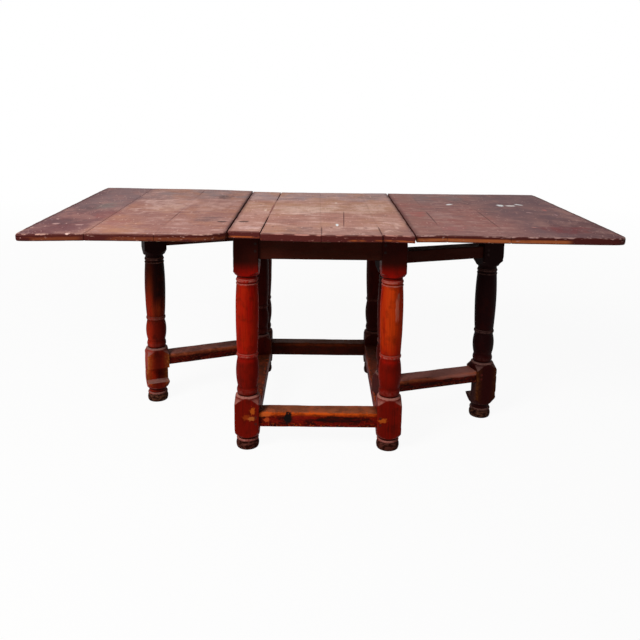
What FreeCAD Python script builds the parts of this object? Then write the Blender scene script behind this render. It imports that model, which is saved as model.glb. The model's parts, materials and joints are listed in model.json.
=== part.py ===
import FreeCAD, Part
import Sketcher
import os
import re

# Gate-leg drop-leaf table in painted pine, millimetres, +Z up.
# The origin is on the floor, under the middle of the opened top; +X runs along the opened
# top to the right-hand leaf and -Y is the front.
#
# A fixed frame of four turned legs carries the centre boards. On each side a gate (pivot
# post, rail, stretcher and turned gate leg) swings about an upright axis through its post,
# and a leaf hangs on two iron butterfly hinges and rests on the opened gate leg.

SIZES = {
    # the top
    "table_height": 760,        # floor to the upper face of the boards
    "top_thickness": 22,
    "arris_radius": 3,          # worn upper edge of the top
    "board_gap": 0.6,           # open seam between two boards
    "crack_gap": 3,             # seam that has opened beside the left centre board
    "centre_half": 288,         # middle of the table to the centre boards' long edge
    "leaf_gap": 4,              # between the centre boards and a leaf
    "left_reach": 914,          # middle of the table to the left leaf's front corner
    "left_flare": 26,           # how much further the left leaf reaches at the back
    "right_reach": 926,         # the same to the right leaf's back corner
    "right_flare": 18,          # how much further the right leaf reaches in front
    # seams between boards, measured from the middle of the table
    "centre_seam_left": 186,
    "centre_seam_left_slant": 19,
    "centre_seam_middle": 2,
    "centre_seam_right": 188,
    "centre_seam_right_slant": 12,
    "left_seam_outer": 710,
    "left_seam_outer_slant": 25,
    "left_seam_inner": 501,
    "right_seam_inner": 388,
    "right_seam_outer": 582,
    # depth of the top in front of and behind the middle, at each seam from left to right
    "left_front_corner": 511,
    "left_front_outer": 487,
    "left_front_inner": 487,
    "left_front_bend": 483,     # where the left leaf's front edge begins to curve back
    "left_bend_reach": 400,
    "left_front_joint": 443,
    "left_back_corner": 530,
    "left_back_outer": 517,
    "left_back_inner": 512,
    "left_back_joint": 481,
    "centre_front_left": 419,
    "centre_front_crack": 425,
    "centre_front_second": 451,
    "centre_front_middle": 464,
    "centre_front_third": 457,
    "centre_front_fourth": 450,
    "centre_front_right": 467,
    "centre_back_left": 460,
    "centre_back_second": 450,
    "centre_back_middle": 449,
    "centre_back_third": 450,
    "centre_back_right": 458,
    "right_front_joint": 452,
    "right_front_inner": 446,
    "right_front_outer": 455,
    "right_front_corner": 461,
    "right_back_joint": 459,
    "right_back_inner": 456,
    "right_back_outer": 458,
    "right_back_corner": 472,
    "left_front_round": 18,
    "left_back_round": 20,
    "right_front_round": 24,
    "right_back_round": 20,
    # fixed frame
    "leg_side": 82,             # square blank of a leg
    "leg_reach": 238,           # middle of the table to a leg's centre line, sideways
    "leg_depth": 326.6,         # the same, front to back
    "apron_height": 81,
    "end_apron_thickness": 36,  # front and rear aprons
    "end_apron_inset": 11,      # leg face to apron face
    "side_rail_thickness": 64,  # left and right aprons and stretchers
    "side_rail_reach": 229,     # middle of the table to their centre line
    "stretcher_bottom": 80.5,
    "stretcher_height": 53,
    "end_stretcher_thickness": 60,
    # joinery
    "tenon_thickness": 22,
    "tenon_edge": 7,            # a tenon's shoulder above and below
    "tenon_length": 55,
    "tenon_fit": 0.2,           # mortise larger than tenon, each way
    "peg_radius": 5,
    "peg_fit": 0.05,
    "peg_pitch": 24,            # between the two pegs of a joint
    "peg_inset": 20,            # leg face to the pegs of a long tenon
    "peg_tail": 2,              # a peg passes its tenon by this much
    "top_peg_depth": 45,        # how far the top's pegs enter the aprons
    "top_peg_inset": 32,        # a middle board's edge to its pegs
    "side_peg_depth": 110,      # middle of the table to the outer boards' pegs
    # turning of the legs
    "turning_allowance": 0.5,   # square corner to the turned blank's surface
    "foot_radius": 39,
    "foot_edge_radius": 37.5,
    "foot_height": 33,
    "ankle_height": 8,
    "neck_radius": 33.5,
    "groove_height": 4,
    "ring_radius": 36,
    "ring_height": 22,
    "bulb_radius": 38.5,
    "bulb_low_radius": 33,
    "leg_bulb_rise": 52,        # foot of the bulb to its widest place
    "leg_bulb_fall": 46,        # widest place to the bulb's neck
    "gate_bulb_rise": 40,
    "gate_bulb_fall": 36,
    "bead_radius": 36.5,
    "bead_height": 15,
    "shaft_low_radius": 34.5,
    "shaft_radius": 38.5,
    "shaft_top_radius": 35,
    "shaft_crown": 119,         # shaft's widest place below the upper block's neck
    "collar_drop": 29,          # collar's underside below the upper block's neck
    "collar_height": 4,
    "collar_radius": 36.5,
    "cap_bead_height": 12,
    "leg_lower_square": 95,     # plain square between the lower block's shoulders
    "shoulder_lip": 4,          # neck to where a shoulder meets the middle of a block's faces
    "foot_shoulder": 21,        # from there to the block's corners, above the foot
    "lower_shoulder": 23,       # the same, over a lower block
    "upper_shoulder": 15.5,     # the same, under a fixed leg's upper block
    "leg_upper_block": 140,     # leg top to the neck under its upper block
    # gates
    "pivot_depth": 193.5,       # middle of the table to a gate's axis, front to back
    "left_gate_span": 418,      # axis to gate leg
    "right_gate_span": 390,
    "left_gate_angle": 67.6,      # how far each gate stands open
    "right_gate_angle": 72,
    "gate_ankle_height": 17,
    "gate_foot_shoulder": 26,
    "gate_lower_square": 107,
    "gate_upper_shoulder": 20,
    "gate_upper_block": 161,
    "gate_rail_thickness": 64,
    "gate_rail_height": 42,
    "gate_rail_drop": 2,        # under the apron
    "gate_stretcher_thickness": 66,
    "gate_stretcher_height": 41,
    "gate_stretcher_lift": 11,  # above the fixed stretcher
    "gate_tenon_length": 34,
    "gate_tenon_edge": 4,
    "gate_peg_pitch": 16,
    "lap_gap": 1,               # between the halved gate leg and the halved side rails
    "lap_ease": 2,              # the halving is longer than what it takes, each way
    "leaf_rest_gap": 0.3,       # gate leg to leaf
    "post_side": 74,
    "post_slimming": 3.5,       # its turning is this much slimmer than a leg's
    "pintle_radius": 11,
    "pintle_length": 30,
    "pintle_fit": 0.08,
    "pintle_end_gap": 0.4,
    "post_end_gap": 0.4,
    # butterfly hinges
    "hinge_depth": 288,         # middle of the table to each hinge, front to back
    "hinge_plate": 2.5,
    "hinge_wing": 36,           # axis to a wing's outer edge
    "hinge_waist": 36,          # length along the axis at the waist
    "hinge_flare": 48,          # length at a wing's outer edge
    "hinge_drop": 3,            # axis below the boards
    "knuckle_radius": 4.5,
    "knuckle_length": 12,       # the fixed wing's middle knuckle
    "knuckle_gap": 0.3,
    "hinge_pin_radius": 2.4,
    "hinge_pin_fit": 0.05,
    "hinge_pin_end": 1,         # the pin stands out of its knuckles
    "wing_fit": 0.2,            # wing to its recess
    "nail_radius": 1.6,
    "nail_fit": 0.05,
    "nail_head_radius": 3.4,
    "nail_head_height": 1.5,
    "nail_length": 15,
    "nail_near": 11,            # axis to the waist's two nails
    "nail_far": 29,             # axis to the outer nail
    "nail_spread": 11,          # waist's nails from the wing's middle
    # sliding dovetail battens under the leaves
    "batten_depth": 335,
    "batten_width": 50,
    "batten_drop": 12,
    "batten_let_in": 8,
    "dovetail_neck": 40,
    "dovetail_head": 48,
    "batten_fit": 0.2,
    "batten_inset": 40,         # leaf edge to batten end
    "batten_peg_depth": 9,     # how far its pegs enter the boards
}

doc = FreeCAD.newDocument("gate_leg_table")
sheet = doc.addObject("Spreadsheet::Sheet", "sizes")
for row, (alias, number) in enumerate(SIZES.items(), 1):
    sheet.set(f"A{row}", alias)
    sheet.set(f"B{row}", str(number))
    sheet.setAlias(f"B{row}", alias)
doc.recompute()

SUBPARTS = []


def formula(text):
    """The expression with every driving dimension read from the sheet."""
    return re.sub(r"[a-z_]\w+", lambda word: _cell(word.group()), text)


def _cell(word):
    return f"sizes.{word}" if word in SIZES else word


def value(text):
    """What a formula comes to, in millimetres or degrees."""
    return float(sheet.evalExpression(formula(text)))


def bind(thing, **formulas):
    """Tie properties to the sheet; two underscores stand for a dot in a property's path."""
    for path, text in formulas.items():
        thing.setExpression(path.replace("__", "."), formula(text))
    return thing


def stack(start, *steps):
    """The levels reached one after the other from a start."""
    levels = [start]
    for step in steps:
        levels.append(f"{levels[-1]} + {step}")
    return levels


def subpart(thing, name, placement=None):
    """Name a finished piece; a gate's pieces are also turned to where the gate stands."""
    thing.Label = name
    if placement:
        bind(thing, **placement)
    SUBPARTS.append(thing)
    return thing


# ---- basic solids and booleans

def box(name, x_low, x_high, y_low, y_high, z_low, z_high):
    """Block between two formulas along each axis."""
    block = doc.addObject("Part::Box", name)
    return bind(
        block,
        Length=f"({x_high}) - ({x_low})",
        Width=f"({y_high}) - ({y_low})",
        Height=f"({z_high}) - ({z_low})",
        Placement__Base__x=x_low,
        Placement__Base__y=y_low,
        Placement__Base__z=z_low,
    )


def rod(name, radius, length, start, direction):
    """Round rod from a start point along a direction."""
    bar = doc.addObject("Part::Cylinder", name)
    return _place_rod(bind(bar, Radius=radius, Height=length), start, direction)


def whittled_peg(name, radius, length, start, direction):
    """Eight-sided peg, or its hole, from a start point along a direction."""
    peg = doc.addObject("Part::Prism", name)
    peg.Polygon = 8
    return _place_rod(bind(peg, Circumradius=radius, Height=length), start, direction)


def _place_rod(bar, start, direction):
    up = FreeCAD.Vector(0, 0, 1)
    bar.Placement.Rotation = FreeCAD.Rotation(up, FreeCAD.Vector(*direction))
    x, y, z = start
    return bind(bar, Placement__Base__x=x, Placement__Base__y=y, Placement__Base__z=z)


def fuse(name, shapes):
    if len(shapes) == 1:
        return shapes[0]
    joined = doc.addObject("Part::MultiFuse", name)
    joined.Shapes = shapes
    return joined


def cut(name, base, tools):
    piece = doc.addObject("Part::Cut", name)
    piece.Base = base
    piece.Tool = fuse(f"{name}_cutters", tools)
    return piece


def group(name, shapes):
    """Separate solids of one kind that share a node."""
    gathered = doc.addObject("Part::Compound", name)
    gathered.Links = shapes
    return gathered


# ---- sketches

def draw(sketch, points, arcs):
    """
    Closed outline through (x, y) formulas, every corner tied to the sheet. A side named in
    arcs, by the number of the corner that it starts at, is an arc turning to the left: its
    centre is level with its "start" or "end", above its start where "over", or at a given x.
    """
    corners = [FreeCAD.Vector(value(x), value(y), 0) for x, y in points]
    constraints = []
    ties = []
    for number, start in enumerate(corners):
        end = corners[(number + 1) % len(corners)]
        rule = arcs.get(number)
        sketch.addGeometry(_arc(start, end, rule) if rule else Part.LineSegment(start, end))
        if rule in ("start", "end"):
            level = 1 if rule == "start" else 2
            constraints.append(Sketcher.Constraint("Horizontal", number, 3, number, level))
        elif rule == "over":
            constraints.append(Sketcher.Constraint("Vertical", number, 3, number, 1))
        elif rule:
            ties.append(("DistanceX", number, 3, rule))
        follower = (number + 1) % len(corners)
        constraints.append(Sketcher.Constraint("Coincident", number, 2, follower, 1))
    for number, (x, y) in enumerate(points):
        ties.append(("DistanceX", number, 1, x))
        ties.append(("DistanceY", number, 1, y))
    sketch.addConstraint(constraints)
    for kind, side, place, text in ties:
        index = sketch.addConstraint(Sketcher.Constraint(kind, -1, 1, side, place, value(text)))
        sketch.setExpression(f"Constraints[{index}]", formula(text))


def _arc(start, end, rule):
    """The arc between two points whose centre obeys the rule."""
    across = end.x - start.x
    rise = end.y - start.y
    if rule == "over":
        centre = FreeCAD.Vector(start.x, start.y + (across**2 + rise**2) / (2 * rise), 0)
    elif rule == "start":
        centre = FreeCAD.Vector(start.x + (across**2 + rise**2) / (2 * across), start.y, 0)
    elif rule == "end":
        centre = FreeCAD.Vector(end.x - (across**2 + rise**2) / (2 * across), end.y, 0)
    else:
        centre = FreeCAD.Vector(value(rule), (start.y + end.y) / 2, 0)
    circle = Part.Circle(centre, FreeCAD.Vector(0, 0, 1), (start - centre).Length)
    return Part.ArcOfCircle(circle, circle.parameter(start), circle.parameter(end))


def slab(name, points, arcs, bottom, thickness):
    """Flat board or plate: an outline padded upwards from its underside."""
    body = doc.addObject("PartDesign::Body", name)
    plane = [face for face in body.Origin.OriginFeatures if face.Role == "XY_Plane"][0]
    sketch = body.newObject("Sketcher::SketchObject", f"{name}_outline")
    sketch.AttachmentSupport = (plane, [""])
    sketch.MapMode = "FlatFace"
    draw(sketch, points, arcs)
    pad = body.newObject("PartDesign::Pad", f"{name}_pad")
    pad.Profile = sketch
    bind(pad, Length=thickness)
    bind(body, Placement__Base__z=bottom)
    return body


# ---- turned pieces

BLANK = "(leg_side * sqrt(2) / 2 + turning_allowance)"
POST_BLANK = "(post_side * sqrt(2) / 2 + turning_allowance)"
LEG_FACE = "(leg_side / 2)"
POST_FACE = "(post_side / 2)"
UNDERSIDE = "(table_height - top_thickness)"
STRETCHER_TOP = "(stretcher_bottom + stretcher_height)"
APRON_BOTTOM = "(table_height - top_thickness - apron_height)"


def bead_centre(crest, side, height):
    """Distance from the axis of the centre of a bead that rises from side to crest."""
    rise = f"({crest} - {side})"
    return f"{crest} - (({height} / 2)^2 + {rise}^2) / (2 * {rise})"


def motif(low, high, bulb_rise, bulb_fall, slim):
    """
    Turning between two square blocks, upwards from the lower block's neck to the upper
    block's: ring, bulb, bead, swelling shaft, collar and cap bead.
    Each entry is (radius, height, rule of the arc that follows).
    """
    neck = f"(neck_radius - {slim})"
    ring = f"(ring_radius - {slim})"
    bulb = f"(bulb_radius - {slim})"
    bulb_low = f"(bulb_low_radius - {slim})"
    bead = f"(bead_radius - {slim})"
    shaft = f"(shaft_radius - {slim})"
    shaft_low = f"(shaft_low_radius - {slim})"
    shaft_top = f"(shaft_top_radius - {slim})"
    collar = f"(collar_radius - {slim})"
    levels = stack(
        low, "groove_height", "ring_height", "groove_height", bulb_rise, bulb_fall,
        "groove_height", "bead_height", "groove_height",
    )
    collar_low = f"{high} - collar_drop"
    collar_high = f"{collar_low} + collar_height"
    cap_low = f"{collar_high} + groove_height"
    cap_high = f"{cap_low} + cap_bead_height"
    return [
        (neck, low, None),
        (neck, levels[1], bead_centre(ring, neck, "ring_height")),
        (neck, levels[2], None),
        (bulb_low, levels[3], "end"),
        (bulb, levels[4], "start"),
        (neck, levels[5], None),
        (neck, levels[6], bead_centre(bead, neck, "bead_height")),
        (neck, levels[7], None),
        (shaft_low, levels[8], "end"),
        (shaft, f"{high} - shaft_crown", "start"),
        (shaft_top, collar_low, None),
        (collar, collar_low, None),
        (collar, collar_high, None),
        (neck, collar_high, None),
        (neck, cap_low, bead_centre(bead, neck, "cap_bead_height")),
        (neck, cap_high, None),
        (neck, high, None),
    ]


def foot(ankle_top):
    """Bulging foot and ankle under the lower block."""
    return [
        ("foot_edge_radius", "0", bead_centre("foot_radius", "foot_edge_radius", "foot_height")),
        ("foot_edge_radius", "foot_height", None),
        ("neck_radius", "foot_height", None),
        ("neck_radius", ankle_top, None),
    ]


def turning(name, stages, x, y):
    """Solid of revolution about the upright through (x, y)."""
    points = [("0", stages[0][1])]
    points += [(radius, height) for radius, height, rule in stages]
    points.append(("0", stages[-1][1]))
    arcs = {number: rule for number, (_, _, rule) in enumerate(stages, 1) if rule}
    profile = doc.addObject("Sketcher::SketchObject", f"{name}_profile")
    draw(profile, points, arcs)
    profile.Placement.Rotation = FreeCAD.Rotation(FreeCAD.Vector(1, 0, 0), 90)
    bind(profile, Placement__Base__x=x, Placement__Base__y=y)
    turned = doc.addObject("Part::Revolution", f"{name}_turning")
    turned.Source = profile
    turned.Axis = (0, 0, 1)
    turned.Angle = 360
    turned.Solid = True
    return bind(turned, Base__x=x, Base__y=y)


def squared(name, turned, side, x, y, bottom, top):
    """The turned solid where it lies inside its square blank."""
    blank = box(
        f"{name}_blank",
        f"{x} - {side} / 2", f"{x} + {side} / 2",
        f"{y} - {side} / 2", f"{y} + {side} / 2",
        bottom, top,
    )
    piece = doc.addObject("Part::Common", f"{name}_squared")
    piece.Base = blank
    piece.Tool = turned
    return piece


def turned_leg_stages(ankle, foot_shoulder, square, rise, fall, upper_block, upper_shoulder, top):
    """
    A leg from the floor up: foot, lower block, turning, upper block. Each block's shoulder is a
    cone from the middle of its faces to its corners, so that it ends in pointed arches.
    """
    ankle_top = f"foot_height + {ankle}"
    face_low = f"{ankle_top} + shoulder_lip"
    square_low = f"{face_low} + {foot_shoulder}"
    square_high = f"{square_low} + {square}"
    face_high = f"{square_high} + lower_shoulder"
    upper_neck = f"({UNDERSIDE} - {upper_block})"
    upper_face = f"{upper_neck} + shoulder_lip"
    return [
        *foot(ankle_top),
        (LEG_FACE, face_low, None),
        (BLANK, square_low, None),
        (BLANK, square_high, None),
        (LEG_FACE, face_high, None),
        *motif(f"({face_high} + shoulder_lip)", upper_neck, rise, fall, "0"),
        (LEG_FACE, upper_face, None),
        (BLANK, f"{upper_face} + {upper_shoulder}", None),
        (BLANK, top, None),
    ]


def leg_stages():
    """A fixed leg, whose blocks take the stretchers and the aprons."""
    return turned_leg_stages(
        "ankle_height", "foot_shoulder", "leg_lower_square", "leg_bulb_rise", "leg_bulb_fall",
        "leg_upper_block", "upper_shoulder", UNDERSIDE,
    )


GATE_TOP = f"({UNDERSIDE} - leaf_rest_gap)"
GATE_SQUARE_LOW = "(foot_height + gate_ankle_height + shoulder_lip + gate_foot_shoulder)"
GATE_SQUARE_HIGH = f"({GATE_SQUARE_LOW} + gate_lower_square)"
GATE_FACE_HIGH = f"({GATE_SQUARE_HIGH} + lower_shoulder)"
GATE_NECK_LOW = f"({GATE_FACE_HIGH} + shoulder_lip)"
GATE_NECK_HIGH = f"({UNDERSIDE} - gate_upper_block)"


def gate_leg_stages():
    """A gate leg: like a fixed leg, with longer blocks that take the gate's rails."""
    return turned_leg_stages(
        "gate_ankle_height", "gate_foot_shoulder", "gate_lower_square", "gate_bulb_rise",
        "gate_bulb_fall", "gate_upper_block", "gate_upper_shoulder", GATE_TOP,
    )


POST_BOTTOM = f"({STRETCHER_TOP} + post_end_gap)"
POST_TOP = f"({APRON_BOTTOM} - post_end_gap)"


def post_stages():
    """A pivot post: turned to the gate leg's pattern, with a round pintle at each end."""
    upper_face = f"{GATE_NECK_HIGH} + shoulder_lip"
    return [
        ("pintle_radius", f"{POST_BOTTOM} - pintle_length", None),
        ("pintle_radius", POST_BOTTOM, None),
        (POST_BLANK, POST_BOTTOM, None),
        (POST_BLANK, GATE_SQUARE_HIGH, None),
        (POST_FACE, GATE_FACE_HIGH, None),
        *motif(GATE_NECK_LOW, GATE_NECK_HIGH, "gate_bulb_rise", "gate_bulb_fall", "post_slimming"),
        (POST_FACE, upper_face, None),
        (POST_BLANK, f"{upper_face} + gate_upper_shoulder", None),
        (POST_BLANK, POST_TOP, None),
        ("pintle_radius", POST_TOP, None),
        ("pintle_radius", f"{POST_TOP} + pintle_length", None),
    ]


# ---- frame joinery

def signed(sign, text):
    """The formula on the left or front (-1) or on the right or back (+1) of the middle."""
    return f"({text})" if sign > 0 else f"(0 - ({text}))"


def span(sign, near, far):
    """Low and high limit of a stretch that lies between near and far on one side."""
    limits = (signed(sign, near), signed(sign, far))
    return limits if sign > 0 else limits[::-1]


LEG_INNER_X = "(leg_reach - leg_side / 2)"
LEG_INNER_Y = "(leg_depth - leg_side / 2)"
LEG_OUTER_X = "(leg_reach + leg_side / 2)"
LEG_OUTER_Y = "(leg_depth + leg_side / 2)"
SIDE_TENON_INNER = "(side_rail_reach - tenon_thickness / 2)"
SIDE_TENON_OUTER = "(side_rail_reach + tenon_thickness / 2)"
# the end rails' tenons stop short of the side rails', which pass in front of them
END_TENON_X = f"({SIDE_TENON_INNER} - 2 * tenon_fit)"
END_PEG_X = f"(({LEG_INNER_X} + {END_TENON_X}) / 2)"
END_APRON_Y = "(leg_depth + leg_side / 2 - end_apron_inset - end_apron_thickness / 2)"
SIDE_TENON_Y = f"({LEG_INNER_Y} + tenon_length)"
SIDE_PEG_Y = f"({LEG_INNER_Y} + peg_inset)"

RAIL_LEVELS = {
    "apron": (APRON_BOTTOM, UNDERSIDE),
    "stretcher": ("stretcher_bottom", STRETCHER_TOP),
}
END_RAILS = {
    "apron": (END_APRON_Y, "end_apron_thickness"),
    "stretcher": ("leg_depth", "end_stretcher_thickness"),
}


def end_tenon(name, kind, end, grow):
    """The tenon bar of a front or rear rail, or its mortises' cutter where it is grown."""
    centre, _ = END_RAILS[kind]
    bottom, top = RAIL_LEVELS[kind]
    y_low, y_high = span(end, f"{centre} - tenon_thickness / 2", f"{centre} + tenon_thickness / 2")
    reach = f"{END_TENON_X} + {grow}"
    return box(
        name, f"0 - ({reach})", reach, f"{y_low} - {grow}", f"{y_high} + {grow}",
        f"{bottom} + tenon_edge - {grow}", f"{top} - tenon_edge + {grow}",
    )


def side_tenon(name, kind, side, grow):
    """The tenon bar of a left or right rail, or its mortises' cutter where it is grown."""
    bottom, top = RAIL_LEVELS[kind]
    x_low, x_high = span(side, SIDE_TENON_INNER, SIDE_TENON_OUTER)
    reach = f"{SIDE_TENON_Y} + {grow}"
    return box(
        name, f"{x_low} - {grow}", f"{x_high} + {grow}", f"0 - ({reach})", reach,
        f"{bottom} + tenon_edge - {grow}", f"{top} - tenon_edge + {grow}",
    )


def peg_heights(kind):
    bottom, top = RAIL_LEVELS[kind]
    middle = f"({bottom} + {top}) / 2"
    return [f"{middle} - peg_pitch / 2", f"{middle} + peg_pitch / 2"]


def end_joint_pegs(name, kind, side, end, grow):
    """Two pegs driven through a leg's front or rear face and an end rail's tenon."""
    centre, _ = END_RAILS[kind]
    length = f"{LEG_OUTER_Y} - ({centre} - tenon_thickness / 2) + peg_tail + {grow}"
    return [
        whittled_peg(
            f"{name}_{number}", f"peg_radius + {grow}", length,
            (signed(side, END_PEG_X), signed(end, LEG_OUTER_Y), height), (0, -end, 0),
        )
        for number, height in enumerate(peg_heights(kind))
    ]


def side_joint_pegs(name, kind, side, end, grow):
    """Two pegs driven through a leg's outer face and a side rail's tenon."""
    length = f"{LEG_OUTER_X} - {SIDE_TENON_INNER} + peg_tail + {grow}"
    return [
        whittled_peg(
            f"{name}_{number}", f"peg_radius + {grow}", length,
            (signed(side, LEG_OUTER_X), signed(end, SIDE_PEG_Y), height), (-side, 0, 0),
        )
        for number, height in enumerate(peg_heights(kind))
    ]


SIDES = {"left": -1, "right": 1}
ENDS = {"front": -1, "rear": 1}


def fixed_leg(side_name, end_name):
    side = SIDES[side_name]
    end = ENDS[end_name]
    name = f"{end_name}_{side_name}_leg"
    x = signed(side, "leg_reach")
    y = signed(end, "leg_depth")
    blank = squared(name, turning(name, leg_stages(), x, y), "leg_side", x, y, "0", UNDERSIDE)
    cutters = []
    for kind in RAIL_LEVELS:
        cutters.append(end_tenon(f"{name}_{kind}_end_mortise", kind, end, "tenon_fit"))
        cutters.append(side_tenon(f"{name}_{kind}_side_mortise", kind, side, "tenon_fit"))
        cutters += end_joint_pegs(f"{name}_{kind}_end_hole", kind, side, end, "peg_fit")
        cutters += side_joint_pegs(f"{name}_{kind}_side_hole", kind, side, end, "peg_fit")
    return subpart(cut(f"{name}_cut", blank, cutters), name)


def end_rail(kind, end_name):
    """Front or rear apron or stretcher: a bar between two legs with a tenon at each end."""
    end = ENDS[end_name]
    name = f"{end_name}_{kind}"
    centre, thickness = END_RAILS[kind]
    bottom, top = RAIL_LEVELS[kind]
    y_low, y_high = span(end, f"{centre} - {thickness} / 2", f"{centre} + {thickness} / 2")
    bar = box(f"{name}_bar", f"0 - {LEG_INNER_X}", LEG_INNER_X, y_low, y_high, bottom, top)
    rail = fuse(f"{name}_tenoned", [bar, end_tenon(f"{name}_tenon", kind, end, "0")])
    holes = []
    for side_name, side in SIDES.items():
        holes += end_joint_pegs(f"{name}_{side_name}_hole", kind, side, end, "peg_fit")
    if kind == "apron":
        for board_name in CENTRE_BOARDS:
            if board_name not in OUTER_BOARDS:
                holes += board_pegs(f"{name}_{board_name}_hole", board_name, end, "peg_fit")
    return subpart(cut(f"{name}_cut", rail, holes), name)


# ---- gates

GATES = {
    # side: span, angle of the gate's direction when it is shut, angle that it stands open
    "left": ("left_gate_span", "-90", "left_gate_angle"),
    "right": ("right_gate_span", "90", "right_gate_angle"),
}
GATE_RAIL_TOP = f"({APRON_BOTTOM} - gate_rail_drop)"
GATE_RAIL_BOTTOM = f"({GATE_RAIL_TOP} - gate_rail_height)"
GATE_STRETCHER_BOTTOM = f"({STRETCHER_TOP} + gate_stretcher_lift)"
GATE_STRETCHER_TOP = f"({GATE_STRETCHER_BOTTOM} + gate_stretcher_height)"
GATE_RAILS = {
    "rail": (GATE_RAIL_BOTTOM, GATE_RAIL_TOP, "gate_rail_thickness"),
    "stretcher": (GATE_STRETCHER_BOTTOM, GATE_STRETCHER_TOP, "gate_stretcher_thickness"),
}


def pivot(side_name):
    """Plan position of a gate's axis: the left gate hangs at the back, the right at the front."""
    side = SIDES[side_name]
    return signed(side, "leg_reach"), signed(-side, "pivot_depth")


def gate_place(side_name):
    """Turns a piece made along +X from the axis to where its gate stands."""
    x, y = pivot(side_name)
    _, shut, opened = GATES[side_name]
    return {
        "Placement__Base__x": x,
        "Placement__Base__y": y,
        "Placement__Rotation__Angle": f"{shut} - {opened}",
    }


def gate_tenon(name, kind, side_name, grow):
    """The tenon bar of a gate's rail, or the cutter of its mortises where it is grown."""
    reach, _, _ = GATES[side_name]
    bottom, top, _ = GATE_RAILS[kind]
    return box(
        name,
        f"post_side / 2 - gate_tenon_length - {grow}",
        f"{reach} - leg_side / 2 + gate_tenon_length + {grow}",
        f"0 - tenon_thickness / 2 - {grow}", f"tenon_thickness / 2 + {grow}",
        f"{bottom} + gate_tenon_edge - {grow}", f"{top} - gate_tenon_edge + {grow}",
    )


def gate_pegs(name, kind, place, face, grow):
    """Two pegs, one above the other, through a gate joint from the gate's outer face."""
    bottom, top, _ = GATE_RAILS[kind]
    middle = f"({bottom} + {top}) / 2"
    length = f"{face} + tenon_thickness / 2 + peg_tail + {grow}"
    return [
        whittled_peg(
            f"{name}_{number}", f"peg_radius + {grow}", length,
            (place, f"0 - {face}", f"{middle} {offset}"), (0, 1, 0),
        )
        for number, offset in enumerate(("- gate_peg_pitch / 2", "+ gate_peg_pitch / 2"))
    ]


def leg_pegs(name, kind, side_name, grow):
    reach, _, _ = GATES[side_name]
    place = f"{reach} - leg_side / 2 + gate_tenon_length / 2"
    return gate_pegs(name, kind, place, "leg_side / 2", grow)


def post_pegs(name, kind, grow):
    place = "post_side / 2 - gate_tenon_length / 2"
    return gate_pegs(name, kind, place, "post_side / 2", grow)


def gate_leg(side_name):
    """Turned leg, halved on its inner side round the fixed stretcher and the apron."""
    name = f"{side_name}_gate_leg"
    reach, _, _ = GATES[side_name]
    turned = turning(name, gate_leg_stages(), reach, "0")
    blank = squared(name, turned, "leg_side", reach, "0", "0", GATE_TOP)
    lap = ("0 - lap_gap / 2", "leg_side / 2 + lap_ease")
    near = f"{reach} - leg_side / 2 - lap_ease"
    far = f"{reach} + leg_side / 2 + lap_ease"
    cutters = [
        box(
            f"{name}_stretcher_halving", near, far, *lap,
            "stretcher_bottom - lap_ease", f"{STRETCHER_TOP} + lap_ease",
        ),
        box(
            f"{name}_apron_halving", near, far, *lap,
            f"{APRON_BOTTOM} - gate_rail_drop", f"{UNDERSIDE} + lap_ease",
        ),
    ]
    for kind in GATE_RAILS:
        cutters.append(gate_tenon(f"{name}_{kind}_mortise", kind, side_name, "tenon_fit"))
        cutters += leg_pegs(f"{name}_{kind}_hole", kind, side_name, "peg_fit")
    return subpart(cut(f"{name}_cut", blank, cutters), name, gate_place(side_name))


def pivot_post(side_name):
    """Turned post that turns on its two pintles between the stretcher and the apron."""
    name = f"{side_name}_pivot_post"
    turned = turning(name, post_stages(), "0", "0")
    blank = squared(
        name, turned, "post_side", "0", "0",
        f"{POST_BOTTOM} - pintle_length", f"{POST_TOP} + pintle_length",
    )
    cutters = []
    for kind in GATE_RAILS:
        cutters.append(gate_tenon(f"{name}_{kind}_mortise", kind, side_name, "tenon_fit"))
        cutters += post_pegs(f"{name}_{kind}_hole", kind, "peg_fit")
    return subpart(cut(f"{name}_cut", blank, cutters), name, gate_place(side_name))


def gate_rail(kind, side_name):
    """Bar between the pivot post and the gate leg, tenoned into both."""
    name = f"{side_name}_gate_{kind}"
    reach, _, _ = GATES[side_name]
    bottom, top, thickness = GATE_RAILS[kind]
    bar = box(
        f"{name}_bar", "post_side / 2", f"{reach} - leg_side / 2",
        f"0 - {thickness} / 2", f"{thickness} / 2", bottom, top,
    )
    rail = fuse(f"{name}_tenoned", [bar, gate_tenon(f"{name}_tenon", kind, side_name, "0")])
    holes = leg_pegs(f"{name}_leg_hole", kind, side_name, "peg_fit")
    holes += post_pegs(f"{name}_post_hole", kind, "peg_fit")
    return subpart(cut(f"{name}_cut", rail, holes), name, gate_place(side_name))


def gate_joint_pegs(side_name):
    name = f"{side_name}_gate_pegs"
    pegs = []
    for kind in GATE_RAILS:
        pegs += leg_pegs(f"{name}_{kind}_leg", kind, side_name, "0")
        pegs += post_pegs(f"{name}_{kind}_post", kind, "0")
    return subpart(group(f"{name}_group", pegs), name, gate_place(side_name))


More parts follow.
